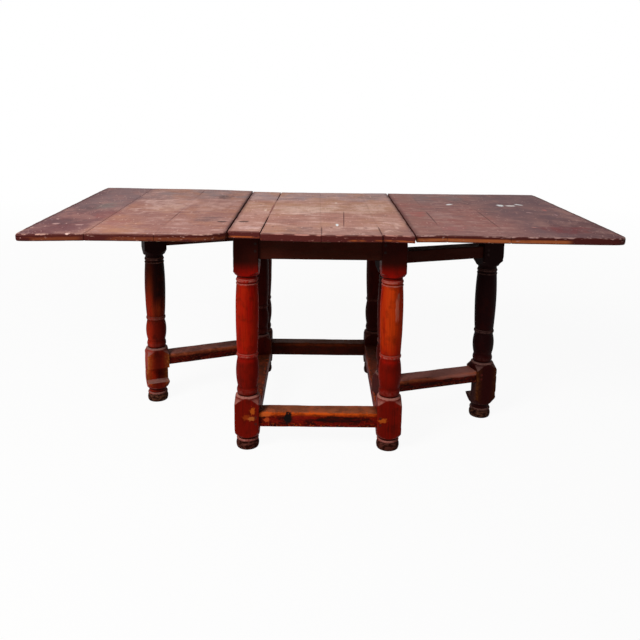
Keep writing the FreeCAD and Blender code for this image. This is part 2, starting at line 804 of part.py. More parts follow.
def side_rail(kind, side_name):
    """
    Left or right apron or stretcher: tenoned into two legs, bored for a gate's pintle and
    halved on its outer side where the shut gate leg lies against it.
    """
    side = SIDES[side_name]
    name = f"{side_name}_{kind}"
    bottom, top = RAIL_LEVELS[kind]
    half = "side_rail_thickness / 2"
    x_low, x_high = span(side, f"side_rail_reach - {half}", f"side_rail_reach + {half}")
    bar = box(f"{name}_bar", x_low, x_high, f"0 - {LEG_INNER_Y}", LEG_INNER_Y, bottom, top)
    rail = fuse(f"{name}_tenoned", [bar, side_tenon(f"{name}_tenon", kind, side, "0")])
    cutters = []
    for end_name, end in ENDS.items():
        cutters += side_joint_pegs(f"{name}_{end_name}_hole", kind, side, end, "peg_fit")
        if kind == "apron":
            board_name = f"centre_board_{side_name}"
            cutters += board_pegs(f"{name}_{end_name}_board_hole", board_name, end, "peg_fit")
    x, y = pivot(side_name)
    bore = "pintle_length - post_end_gap + pintle_end_gap"
    start = STRETCHER_TOP if kind == "stretcher" else APRON_BOTTOM
    direction = -1 if kind == "stretcher" else 1
    cutters.append(
        rod(f"{name}_pintle_bore", "pintle_radius + pintle_fit", bore, (x, y, start), (0, 0, direction))
    )
    reach, _, _ = GATES[side_name]
    lap = "leg_side / 2 + lap_ease"
    lap_x = span(side, "leg_reach - lap_gap / 2", f"side_rail_reach + {half} + lap_ease")
    lap_y = span(side, f"{reach} - pivot_depth - ({lap})", f"{reach} - pivot_depth + {lap}")
    halving = (f"{bottom} - lap_ease", f"{top} + lap_ease")
    cutters.append(box(f"{name}_halving", *lap_x, *lap_y, *halving))
    return subpart(cut(f"{name}_cut", rail, cutters), name)


# ---- hinges

def hinge_axis(side):
    """Plan distance and height of a leaf's hinge axis."""
    return signed(side, "centre_half + leaf_gap / 2"), f"({UNDERSIDE} - hinge_drop)"


def wing_outline(side, way, end, grow):
    """Butterfly wing in plan; way is -1 towards the middle of the table and +1 to the leaf."""
    axis, _ = hinge_axis(side)
    towards = side * way
    centre = signed(end, "hinge_depth")
    near = f"{axis} + {signed(towards, f'knuckle_radius + knuckle_gap - {grow}')}"
    far = f"{axis} + {signed(towards, f'hinge_wing + {grow}')}"
    return [
        (near, f"{centre} - hinge_waist / 2 - {grow}"),
        (far, f"{centre} - hinge_flare / 2 - {grow}"),
        (far, f"{centre} + hinge_flare / 2 + {grow}"),
        (near, f"{centre} + hinge_waist / 2 + {grow}"),
    ]


def knuckle_spans(way):
    """Stretches of the hinge's length that a wing's knuckles take, from the hinge's middle."""
    inner = "knuckle_length / 2 + knuckle_gap"
    outer = "hinge_waist / 2"
    if way < 0:
        return [("0 - knuckle_length / 2", "knuckle_length / 2")]
    return [(f"0 - {outer}", f"0 - ({inner})"), (inner, outer)]


def nails(name, side, way, end, grow):
    """Three forged nails of a wing, heads flush with the plate, or their holes."""
    axis, _ = hinge_axis(side)
    towards = side * way
    centre = signed(end, "hinge_depth")
    places = [("nail_near", "- nail_spread"), ("nail_near", "+ nail_spread"), ("nail_far", "+ 0")]
    driven = []
    for number, (along, across) in enumerate(places):
        start = (f"{axis} + {signed(towards, along)}", f"{centre} {across}", UNDERSIDE)
        shank = rod(
            f"{name}_shank_{number}", f"nail_radius + {grow}", f"nail_length + {grow}",
            start, (0, 0, 1),
        )
        head = rod(
            f"{name}_head_{number}", f"nail_head_radius + {grow}", f"nail_head_height + {grow}",
            start, (0, 0, 1),
        )
        driven.append(fuse(f"{name}_nail_{number}", [shank, head]))
    return driven


def hinge_wing(name, side, way, end):
    """Forged wing let flush into the boards, with its knuckles round the pin."""
    axis, height = hinge_axis(side)
    towards = side * way
    centre = signed(end, "hinge_depth")
    plate = slab(f"{name}_plate", wing_outline(side, way, end, "0"), {}, UNDERSIDE, "hinge_plate")
    parts = [plate]
    for number, (low, high) in enumerate(knuckle_spans(way)):
        start = (axis, f"{centre} + {low}", height)
        length = f"({high}) - ({low})"
        parts.append(rod(f"{name}_knuckle_{number}", "knuckle_radius", length, start, (0, 1, 0)))
        x_low, x_high = span(towards, "0", "knuckle_radius + knuckle_gap + hinge_plate")
        parts.append(
            box(
                f"{name}_tongue_{number}", f"{axis} + {x_low}", f"{axis} + {x_high}",
                f"{centre} + {low}", f"{centre} + {high}", UNDERSIDE, f"{UNDERSIDE} + hinge_plate",
            )
        )
    bore = rod(
        f"{name}_bore", "hinge_pin_radius + hinge_pin_fit", "2 * hinge_waist",
        (axis, f"{centre} - hinge_waist", height), (0, 1, 0),
    )
    holes = nails(f"{name}_hole", side, way, end, "nail_fit")
    return subpart(cut(f"{name}_cut", fuse(f"{name}_forging", parts), [bore, *holes]), name)


def hinge_pin(name, side, end):
    axis, height = hinge_axis(side)
    centre = signed(end, "hinge_depth")
    length = "hinge_waist + 2 * hinge_pin_end"
    start = (axis, f"{centre} - hinge_waist / 2 - hinge_pin_end", height)
    return subpart(rod(f"{name}_rod", "hinge_pin_radius", length, start, (0, 1, 0)), name)


def hinge_recesses(name, side, way):
    """Cutters of the recesses, knuckle room and nail holes under a board at a hinge."""
    axis, height = hinge_axis(side)
    cutters = []
    for end_name, end in ENDS.items():
        label = f"{name}_{end_name}"
        centre = signed(end, "hinge_depth")
        outline = wing_outline(side, way, end, "wing_fit")
        bottom = f"{UNDERSIDE} - wing_fit"
        cutters.append(slab(f"{label}_recess", outline, {}, bottom, "hinge_plate + 2 * wing_fit"))
        start = (axis, f"{centre} - hinge_waist / 2 - 2 * hinge_pin_end", height)
        length = "hinge_waist + 4 * hinge_pin_end"
        room = "knuckle_radius + knuckle_gap"
        cutters.append(rod(f"{label}_room", room, length, start, (0, 1, 0)))
        x_low, x_high = span(side * way, "0", "knuckle_radius + knuckle_gap + hinge_plate")
        cutters.append(
            box(
                f"{label}_tongue_room", f"{axis} + {x_low}", f"{axis} + {x_high}",
                f"{centre} - hinge_waist / 2 - wing_fit", f"{centre} + hinge_waist / 2 + wing_fit",
                bottom, f"{UNDERSIDE} + hinge_plate + wing_fit",
            )
        )
        cutters += nails(f"{label}_hole", side, way, end, "nail_fit")
    return cutters


# ---- boards of the top

# seams between the boards, from left to right: (x at the front, x at the back)
LEFT_EDGE = ("0 - left_reach", "0 - (left_reach + left_flare)")
LEFT_OUTER = ("0 - left_seam_outer", "0 - (left_seam_outer + left_seam_outer_slant)")
LEFT_INNER = ("0 - left_seam_inner", "0 - left_seam_inner")
LEFT_JOINT = ("0 - (centre_half + leaf_gap)", "0 - (centre_half + leaf_gap)")
CENTRE_LEFT = ("0 - centre_half", "0 - centre_half")
CENTRE_CRACK = ("0 - centre_seam_left", "0 - (centre_seam_left - centre_seam_left_slant)")
CENTRE_MIDDLE = ("centre_seam_middle", "centre_seam_middle")
CENTRE_THIRD = ("centre_seam_right", "centre_seam_right - centre_seam_right_slant")
CENTRE_RIGHT = ("centre_half", "centre_half")
RIGHT_JOINT = ("centre_half + leaf_gap", "centre_half + leaf_gap")
RIGHT_INNER = ("right_seam_inner", "right_seam_inner")
RIGHT_OUTER = ("right_seam_outer", "right_seam_outer")
RIGHT_EDGE = ("right_reach + right_flare", "right_reach")


def corners(left, right, left_gap, right_gap, front, back):
    """
    Board between two seams, counter-clockwise from the front left. A gap takes half its
    width off the board's side; front and back hold the depths at the left and the right.
    """
    return [
        (f"{left[0]} + {left_gap} / 2", f"0 - {front[0]}"),
        (f"{right[0]} - {right_gap} / 2", f"0 - {front[1]}"),
        (f"{right[1]} - {right_gap} / 2", back[1]),
        (f"{left[1]} + {left_gap} / 2", back[0]),
    ]


def board(name, points, cutters, arcs=None, rounds=()):
    """Board of the top, its outer corners rounded, less what is let into it."""
    body = slab(f"{name}_board", points, arcs or {}, UNDERSIDE, "top_thickness")
    doc.recompute()
    feature = body.Tip
    for number, (corner, radius) in enumerate(rounds):
        x, y = (value(text) for text in points[corner])
        edges = upright_edges(feature.Shape, x, y)
        rounding = body.newObject("PartDesign::Fillet", f"{name}_corner_{number}")
        rounding.Base = (feature, edges)
        bind(rounding, Radius=radius)
        feature = rounding
        doc.recompute()
    arris = body.newObject("PartDesign::Fillet", f"{name}_arris")
    arris.Base = (feature, outer_arrises(feature.Shape, points, rounds))
    bind(arris, Radius="arris_radius")
    body.Tip = arris
    return subpart(cut(f"{name}_cut", body, cutters), name)


# two points of a shape nearer than this are the same point
NEAR = 0.01


def upright_edges(shape, x, y):
    """Names of a slab's upright edges at a point of its outline."""
    return [
        f"Edge{number}"
        for number, edge in enumerate(shape.Edges, 1)
        if all(abs(end.X - x) < NEAR and abs(end.Y - y) < NEAR for end in edge.Vertexes)
    ]


def outer_arrises(shape, points, rounds):
    """Names of the upper edges along a board's ends and, past rounded corners, its side."""
    top = shape.BoundBox.ZMax
    x_front_left, x_front_right, x_back_right, x_back_left = (
        value(points[0][0]), value(points[-3][0]), value(points[-2][0]), value(points[-1][0])
    )
    rounded = {number for number, _ in rounds}
    names = []
    for number, edge in enumerate(shape.Edges, 1):
        ends = edge.Vertexes
        if any(abs(end.Z - top) > NEAR for end in ends):
            continue
        on_left = all(_beside(end, x_front_left, x_back_left) for end in ends)
        on_right = all(_beside(end, x_front_right, x_back_right) for end in ends)
        if on_left and 0 not in rounded:
            continue
        if on_right and 1 not in rounded:
            continue
        names.append(f"Edge{number}")
    return names


def _beside(end, x_front, x_back):
    low, high = sorted((x_front, x_back))
    return low - NEAR < end.X < high + NEAR


CENTRE_BOARDS = {
    # name: left seam, right seam, gaps on the left and right, depths in front, depths behind
    "centre_board_left": (
        CENTRE_LEFT, CENTRE_CRACK, "0", "crack_gap",
        ("centre_front_left", "centre_front_crack"), ("centre_back_left", "centre_back_second"),
    ),
    "centre_board_second": (
        CENTRE_CRACK, CENTRE_MIDDLE, "crack_gap", "board_gap",
        ("centre_front_second", "centre_front_middle"), ("centre_back_second", "centre_back_middle"),
    ),
    "centre_board_third": (
        CENTRE_MIDDLE, CENTRE_THIRD, "board_gap", "board_gap",
        ("centre_front_middle", "centre_front_third"), ("centre_back_middle", "centre_back_third"),
    ),
    "centre_board_right": (
        CENTRE_THIRD, CENTRE_RIGHT, "board_gap", "0",
        ("centre_front_fourth", "centre_front_right"), ("centre_back_third", "centre_back_right"),
    ),
}


OUTER_BOARDS = {"centre_board_left": -1, "centre_board_right": 1}


def top_peg_places(board_name, end):
    """Two pegs hold each end of a middle board on an end apron, an outer one on its side's."""
    if board_name in OUTER_BOARDS:
        side = OUTER_BOARDS[board_name]
        return [(signed(side, "side_rail_reach"), signed(end, "side_peg_depth"))]
    left, right, _, _, _, _ = CENTRE_BOARDS[board_name]
    y = signed(end, END_APRON_Y)
    return [(f"{left[0]} + top_peg_inset", y), (f"{right[1]} - top_peg_inset", y)]


def board_pegs(name, board_name, end, grow):
    """Pegs, or their holes, in the front or rear half of a centre board."""
    length = f"top_thickness + top_peg_depth + {grow}"
    return [
        whittled_peg(
            f"{name}_{number}", f"peg_radius + {grow}", length, (x, y, "table_height"), (0, 0, -1)
        )
        for number, (x, y) in enumerate(top_peg_places(board_name, end))
    ]


def centre_board(name):
    left, right, left_gap, right_gap, front, back = CENTRE_BOARDS[name]
    cutters = []
    for end_name, end in ENDS.items():
        cutters += board_pegs(f"{name}_{end_name}_peg_hole", name, end, "peg_fit")
    if name in OUTER_BOARDS:
        cutters += hinge_recesses(name, OUTER_BOARDS[name], -1)
    return board(name, corners(left, right, left_gap, right_gap, front, back), cutters)


def batten_section(end, grow):
    """Section of a sliding dovetail batten, as (y, z) from the boards' underside."""
    y = signed(end, "batten_depth")
    outline = [
        ("0 - batten_width / 2", "0 - batten_drop"),
        ("batten_width / 2", "0 - batten_drop"),
        ("batten_width / 2", "0"),
        ("dovetail_neck / 2", "0"),
        ("dovetail_head / 2", "batten_let_in"),
        ("0 - dovetail_head / 2", "batten_let_in"),
        ("0 - dovetail_neck / 2", "0"),
        ("0 - batten_width / 2", "0"),
    ]
    groove = [
        (f"0 - (dovetail_neck / 2 + {grow})", f"0 - {grow}"),
        (f"dovetail_neck / 2 + {grow}", f"0 - {grow}"),
        (f"dovetail_head / 2 + {grow}", f"batten_let_in + {grow}"),
        (f"0 - (dovetail_head / 2 + {grow})", f"batten_let_in + {grow}"),
    ]
    section = outline if grow == "0" else groove
    return [(f"{y} + {across}", f"{UNDERSIDE} + {up}") for across, up in section]


LEAF_SPANS = {
    # side: seams from the joint outwards, and the least reach of the leaf's outer edge
    "left": (LEFT_INNER, LEFT_OUTER, "left_reach"),
    "right": (RIGHT_INNER, RIGHT_OUTER, "right_reach"),
}


def batten_bar(name, side_name, end, grow):
    """Batten along a leaf, or the groove for it where it is grown."""
    side = SIDES[side_name]
    _, _, edge = LEAF_SPANS[side_name]
    near = f"centre_half + leaf_gap + batten_inset - {grow}"
    far = f"{edge} - batten_inset + {grow}"
    x_low, x_high = span(side, near, far)
    section = doc.addObject("Sketcher::SketchObject", f"{name}_section")
    draw(section, batten_section(end, grow), {})
    # the section's x runs along +Y and its y along +Z, so its normal is +X
    section.Placement.Rotation = FreeCAD.Rotation(
        FreeCAD.Vector(0, 1, 0), FreeCAD.Vector(0, 0, 1), FreeCAD.Vector(1, 0, 0), "ZXY"
    )
    bind(section, Placement__Base__x=x_low)
    bar = doc.addObject("Part::Extrusion", f"{name}_bar")
    bar.Base = section
    bar.DirMode = "Custom"
    bar.Dir = (1, 0, 0)
    bar.Solid = True
    return bind(bar, LengthFwd=f"({x_high}) - ({x_low})")


def batten_peg_places(side_name):
    """One peg of a batten for each of the leaf's three boards."""
    side = SIDES[side_name]
    inner, outer, edge = LEAF_SPANS[side_name]
    joint = signed(side, "centre_half + leaf_gap")
    seams = [joint, inner[0], outer[0], signed(side, edge)]
    return [f"(({near}) + ({far})) / 2" for near, far in zip(seams, seams[1:])]


def batten_pegs(name, side_name, end, grow):
    """Pegs driven from below through a batten into the leaf's boards."""
    length = f"batten_drop + batten_let_in + batten_peg_depth + {grow}"
    start_z = f"{UNDERSIDE} - batten_drop"
    return [
        whittled_peg(
            f"{name}_{number}", f"peg_radius + {grow}", length,
            (x, signed(end, "batten_depth"), start_z), (0, 0, 1),
        )
        for number, x in enumerate(batten_peg_places(side_name))
    ]


def leaf_batten(side_name, end_name):
    name = f"{side_name}_leaf_{end_name}_batten"
    end = ENDS[end_name]
    bar = batten_bar(name, side_name, end, "0")
    holes = batten_pegs(f"{name}_hole", side_name, end, "peg_fit")
    return subpart(cut(f"{name}_cut", bar, holes), name)


def leaf_board(name, side_name, points, arcs=None, rounds=(), hinged=False):
    side = SIDES[side_name]
    cutters = []
    for end_name, end in ENDS.items():
        cutters.append(batten_bar(f"{name}_{end_name}_groove", side_name, end, "batten_fit"))
        cutters += batten_pegs(f"{name}_{end_name}_hole", side_name, end, "peg_fit")
    if hinged:
        cutters += hinge_recesses(name, side, 1)
    return board(name, points, cutters, arcs, rounds)


def left_leaf_boards():
    outer = corners(
        LEFT_EDGE, LEFT_OUTER, "0", "board_gap",
        ("left_front_corner", "left_front_outer"), ("left_back_corner", "left_back_outer"),
    )
    middle = corners(
        LEFT_OUTER, LEFT_INNER, "board_gap", "board_gap",
        ("left_front_outer", "left_front_inner"), ("left_back_outer", "left_back_inner"),
    )
    inner = corners(
        LEFT_INNER, LEFT_JOINT, "board_gap", "0",
        ("left_front_inner", "left_front_joint"), ("left_back_inner", "left_back_joint"),
    )
    # the inner board's front edge runs straight and then curves back to the joint
    inner.insert(1, ("0 - left_bend_reach", "0 - left_front_bend"))
    rounds = [(0, "left_front_round"), (3, "left_back_round")]
    leaf_board("left_leaf_outer_board", "left", outer, rounds=rounds)
    leaf_board("left_leaf_middle_board", "left", middle)
    leaf_board("left_leaf_inner_board", "left", inner, arcs={1: "over"}, hinged=True)


def right_leaf_boards():
    inner = corners(
        RIGHT_JOINT, RIGHT_INNER, "0", "board_gap",
        ("right_front_joint", "right_front_inner"), ("right_back_joint", "right_back_inner"),
    )
    middle = corners(
        RIGHT_INNER, RIGHT_OUTER, "board_gap", "board_gap",
        ("right_front_inner", "right_front_outer"), ("right_back_inner", "right_back_outer"),
    )
    outer = corners(
        RIGHT_OUTER, RIGHT_EDGE, "board_gap", "0",
        ("right_front_outer", "right_front_corner"), ("right_back_outer", "right_back_corner"),
    )
    rounds = [(1, "right_front_round"), (2, "right_back_round")]
    leaf_board("right_leaf_inner_board", "right", inner, hinged=True)
    leaf_board("right_leaf_middle_board", "right", middle)
    leaf_board("right_leaf_outer_board", "right", outer, rounds=rounds)


# ---- the table

def frame():
    for end_name in ENDS:
        for side_name in SIDES:
            fixed_leg(side_name, end_name)
    for kind in RAIL_LEVELS:
        for end_name in ENDS:
            end_rail(kind, end_name)
        for side_name in SIDES:
            side_rail(kind, side_name)
    pegs = []
    for kind in RAIL_LEVELS:
        for side_name, side in SIDES.items():
            for end_name, end in ENDS.items():
                label = f"frame_peg_{kind}_{end_name}_{side_name}"
                pegs += end_joint_pegs(f"{label}_end", kind, side, end, "0")
                pegs += side_joint_pegs(f"{label}_side", kind, side, end, "0")
    subpart(group("frame_peg_group", pegs), "frame_joint_pegs")


def centre_top():
    pegs = []
    for name in CENTRE_BOARDS:
        centre_board(name)
        for end_name, end in ENDS.items():
            pegs += board_pegs(f"{name}_{end_name}_peg", name, end, "0")
    subpart(group("top_peg_group", pegs), "centre_top_pegs")


def gates():
    for side_name in GATES:
        pivot_post(side_name)
        gate_leg(side_name)
        for kind in GATE_RAILS:
            gate_rail(kind, side_name)
        gate_joint_pegs(side_name)


def leaves():
    left_leaf_boards()
    right_leaf_boards()
    for side_name in SIDES:
        pegs = []
        for end_name, end in ENDS.items():
            leaf_batten(side_name, end_name)
            pegs += batten_pegs(f"{side_name}_{end_name}_batten_peg", side_name, end, "0")
        subpart(group(f"{side_name}_batten_peg_group", pegs), f"{side_name}_leaf_pegs")


def hinges():
    frame_nails = []
    for side_name, side in SIDES.items():
        leaf_nails = []
        for end_name, end in ENDS.items():
            label = f"{side_name}_{end_name}_hinge"
            hinge_wing(f"{label}_fixed_wing", side, -1, end)
            hinge_wing(f"{label}_leaf_wing", side, 1, end)
            hinge_pin(f"{label}_pin", side, end)
            frame_nails += nails(f"{label}_fixed", side, -1, end, "0")
            leaf_nails += nails(f"{label}_leaf", side, 1, end, "0")
        subpart(group(f"{side_name}_leaf_nail_group", leaf_nails), f"{side_name}_leaf_hinge_nails")
    subpart(group("frame_nail_group", frame_nails), "frame_hinge_nails")


def check():
    """Stop unless every object has recomputed and every piece is whole."""
    failed = [thing.Name for thing in doc.Objects if {"Invalid", "Error"} & set(thing.State)]
    if failed:
        raise RuntimeError(f"not recomputed: {', '.join(failed)}")
    for piece in SUBPARTS:
        shape = piece.Shape
        if shape.isNull() or not shape.isValid() or not shape.Solids:
            raise RuntimeError(f"{piece.Label} is not a valid solid")


def write():
    os.makedirs("parts", exist_ok=True)
    for piece in SUBPARTS:
        piece.Shape.exportStep(os.path.join("parts", f"{piece.Label}.step"))
        print(f"{piece.Label}: {len(piece.Shape.Solids)} solids, {piece.Shape.Volume / 1000:.1f} cm3")


frame()
centre_top()
gates()
leaves()
hinges()
doc.recompute()
check()
write()
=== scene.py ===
import json
import math

import bmesh
import bpy
import numpy as np
from mathutils import Matrix, Vector


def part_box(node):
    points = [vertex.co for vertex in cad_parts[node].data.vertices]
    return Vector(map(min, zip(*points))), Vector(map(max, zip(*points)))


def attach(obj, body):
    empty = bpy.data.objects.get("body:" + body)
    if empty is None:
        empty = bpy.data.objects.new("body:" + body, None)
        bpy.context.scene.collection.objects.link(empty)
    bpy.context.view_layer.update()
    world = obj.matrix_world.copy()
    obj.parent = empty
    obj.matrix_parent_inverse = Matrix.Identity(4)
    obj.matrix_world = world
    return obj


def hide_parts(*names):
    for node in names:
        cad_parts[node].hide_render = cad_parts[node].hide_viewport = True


# Gate-leg drop-leaf table in worn red paint. Lengths are in millimetres until a mesh is made,
# +Z is up, the origin is on the floor under the middle of the opened top, and -Y is the front.
#
# The visible wood is computed here as worn surfaces round the model's solids: turned legs and
# posts, bars for the aprons, rails and stretchers, and the boards of the top. Pegs, hinges and
# nails are the model's own solids with a finish.

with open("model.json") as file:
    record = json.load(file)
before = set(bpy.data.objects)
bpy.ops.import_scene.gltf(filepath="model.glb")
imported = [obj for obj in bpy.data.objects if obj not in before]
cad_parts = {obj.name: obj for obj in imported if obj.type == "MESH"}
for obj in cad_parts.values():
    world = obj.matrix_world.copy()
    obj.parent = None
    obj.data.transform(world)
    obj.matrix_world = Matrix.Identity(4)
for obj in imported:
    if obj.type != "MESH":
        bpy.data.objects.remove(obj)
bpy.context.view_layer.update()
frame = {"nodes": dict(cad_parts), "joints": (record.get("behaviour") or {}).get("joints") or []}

MM = 0.001
# the lowest and highest corner of each solid, and the place of each joint
SOLID = {name: np.array([list(corner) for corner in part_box(name)]) / MM for name in frame["nodes"]}
JOINT = {joint["name"]: np.array(joint["pos_m"]) / MM for joint in frame["joints"]}
UNDERSIDE, TOP = SOLID["centre_board_second"][:, 2]
APRON_BOTTOM = SOLID["front_apron"][0, 2]
STRETCHER_TOP = SOLID["front_stretcher"][1, 2]
SIDES = {"left": -1, "right": 1}
# sides of the square blanks of legs and posts, and radii that clear their corners by 0.5
LEG_SIDE, POST_SIDE = 82, 74
LEG_CLEAR, POST_CLEAR = 58.48, 52.83


# ---- camera and light

CAMERA_PLACE = (-0.013, -2.5418, 1.1853)  # metres
# degrees by which the camera looks down, leans over and turns aside
LOOK_DOWN, LEAN, ASIDE = 10.195, 0.783, -0.273


def placed(name, data):
    """A new object of the scene, at the origin."""
    thing = bpy.data.objects.new(name, data)
    bpy.context.scene.collection.objects.link(thing)
    return thing


def aim_camera():
    """A camera a little above the table's front, its view shifted down to the table."""
    data = bpy.data.cameras.new("front_camera")
    data.lens = 39.375
    data.sensor_width = 36
    data.shift_y = -0.15875
    camera = placed("front_camera", data)
    pitch = Matrix.Rotation(math.radians(90 - LOOK_DOWN), 4, "X")
    roll = Matrix.Rotation(math.radians(LEAN), 4, "Z")
    yaw = Matrix.Rotation(math.radians(ASIDE), 4, "Z")
    camera.matrix_world = Matrix.Translation(CAMERA_PLACE) @ yaw @ pitch @ roll
    bpy.context.scene.camera = camera


def area_lamp(name, place, target, size, watts):
    """A square soft lamp at a place, facing a target."""
    data = bpy.data.lights.new(name, "AREA")
    data.shape = "SQUARE"
    data.size = size
    data.energy = watts
    aim = (Vector(place) - Vector(target)).to_track_quat("Z", "Y")
    placed(name, data).matrix_world = Matrix.Translation(place) @ aim.to_matrix().to_4x4()


# ---- patterns

def linear(code):
    """An sRGB hex colour as linear RGBA."""
    parts = [int(code[i:i + 2], 16) / 255 for i in (1, 3, 5)]
    return [c / 12.92 if c <= 0.04045 else ((c + 0.055) / 1.055) ** 2.4 for c in parts] + [1.0]


def add(tree, kind, links=(), **settings):
    """
    Adds a node with settings as its properties and links as its inputs, in order or by name:
    numbers, vectors, hex colours, sockets, or nodes, whose first live output is taken.
    """
    node = tree.nodes.new("ShaderNode" + kind)
    for name, setting in settings.items():
        setattr(node, name, setting)
    pairs = links.items() if isinstance(links, dict) else enumerate(links)
    for place, source in pairs:
        if source is None:
            continue
        if isinstance(source, bpy.types.Node):
            source = next(out for out in source.outputs if out.enabled)
        if isinstance(source, bpy.types.NodeSocket):
            tree.links.new(source, node.inputs[place])
        else:
            node.inputs[place].default_value = linear(source) if isinstance(source, str) else source
    return node


def patches(tree, size, low, high, detail=3.0, shift=0.0, rough=0.55):
    """
    Soft-edged patches of a given size along X, Y and Z in millimetres: 0 where the noise is
    under low and 1 where it is over high.
    """
    where = add(tree, "TexCoord").outputs["Object"]
    scaled = add(tree, "Mapping", {
        "Vector": where, "Location": (shift, shift, shift),
        "Scale": [1 / (MM * length) for length in size],
    })
    cloud = add(tree, "TexNoise", {"Vector": scaled, "Scale": 1.0, "Detail": detail, "Roughness": rough})
    return add(tree, "MapRange", (cloud, low, high), clamp=True)


def scratches(tree, size, width, shift=0.0):
    """Thin curved lines, 1 along them, where a soft noise of a given size passes its middle value."""
    cloud = patches(tree, size, 0.0, 1.0, detail=1.5, shift=shift)
    off = add(tree, "Math", (cloud, 0.5), operation="SUBTRACT")
    return add(tree, "MapRange", (add(tree, "Math", (off,), operation="ABSOLUTE"), 0.0, width, 1.0, 0.0))


def band(tree, axis, low, high):
    """0 below low and 1 above high, in millimetres along one axis of the object; it may fall."""
    where = add(tree, "SeparateXYZ", (add(tree, "TexCoord").outputs["Object"],))
    return add(tree, "MapRange", (where.outputs[axis], low * MM, high * MM), interpolation_type="SMOOTHSTEP")


def spot(tree, place, radii, degrees=0.0, ragged=0.5):
    """
    1 at a place in millimetres, falling to 0 on a ragged ellipse round it, turned about the
    upright. One given in plan alone lies on the boards' upper face and soaks in.
    """
    soaked = 20
    near = add(tree, "Mapping", {
        "Vector": add(tree, "TexCoord").outputs["Object"],
        "Location": [MM * part for part in (*place, TOP)[:3]],
        "Rotation": (0, 0, math.radians(degrees)),
        "Scale": [MM * radius for radius in (*radii, soaked)[:3]],
    }, vector_type="TEXTURE")
    cloud = add(tree, "TexNoise", {"Vector": near, "Scale": 2.0, "Detail": 3.0})
    shake = (cloud.outputs["Color"], [ragged * 2] * 3, [-ragged] * 3)
    torn = add(tree, "VectorMath", shake, operation="MULTIPLY_ADD")
    ball = add(tree, "TexGradient", (add(tree, "VectorMath", (near, torn)),), gradient_type="SPHERICAL")
    return add(tree, "MapRange", (ball, 0.0, 0.35))


def on_runs(tree, runs):
    """1 on runs along X given as (start, end) in millimetres, each with soft ends."""
    soft = 15
    whole = 0.0
    for start, end in runs:
        begun, ended = band(tree, 0, start - soft, start + soft), band(tree, 0, end + soft, end - soft)
        whole = add(tree, "Math", (whole, product(tree, begun, ended)), operation="MAXIMUM")
    return whole


def facing_up(tree, low, high):
    """1 on surfaces that face upwards, where dust lies, feet and hands rub, and painted sheen and shade go.
    """
    normal = add(tree, "SeparateXYZ", (add(tree, "NewGeometry").outputs["Normal"],))
    return add(tree, "MapRange", (normal.outputs[2], low, high), interpolation_type="SMOOTHSTEP")


def product(tree, *masks):
    """The product of masks, of which one given with two numbers runs from the one to the other."""
    whole = None
    for mask in masks:
        if isinstance(mask, tuple):
            mask = add(tree, "MapRange", (mask[0], 0.0, 1.0, *mask[1:])) if len(mask) > 1 else mask[0]
        whole = mask if whole is None else add(tree, "Math", (whole, mask), operation="MULTIPLY")
    return whole


def coats(tree, ground, *layers):
    """Colours laid one over the other on a ground colour, each where the product of its masks says."""
    colour = ground
    for top, *masks in layers:
        colour = add(tree, "Mix", {0: product(tree, *masks), 6: colour, 7: top}, data_type="RGBA")
    return colour


def spots(tree, marks, ragged, *masks):
    """A layer for each mark, given as (tone, place, radii, amount, and degrees if it is turned)."""
    return [
        (tone, spot(tree, place, radii, *turn, ragged=ragged), *masks, (amount,))
        for tone, place, radii, amount, *turn in marks
    ]


def fades(tree, shades, *masks):
    """A layer for each shade, given as a tone and the bands, each (axis, low, high), that bound it."""
    return [(tone, *[band(tree, *bounds) for bounds in bands], *masks) for tone, *bands in shades]


def new_tree(name):
    """A new material with an empty node tree: (material, tree)."""
    material = bpy.data.materials.new(name)
    material.use_nodes = True
    material.node_tree.nodes.clear()
    return material, material.node_tree


def surface(tree, colour, roughness, reliefs, constants):
    """
    Closes a material: its shader, its roughness as (mask, at 0, at 1), its bumps as (height
    mask, depth in millimetres) and the shader's constant inputs by name.
    """
    bump = None
    for height, depth in reliefs:
        under = bump and bump.outputs[0]
        bump = add(tree, "Bump", {"Height": height, "Distance": depth * MM, "Normal": under})
    inputs = {"Base Color": colour, "Roughness": product(tree, roughness), "Normal": bump, **constants}
    add(tree, "OutputMaterial", (add(tree, "BsdfPrincipled", inputs),))


# ---- finishes

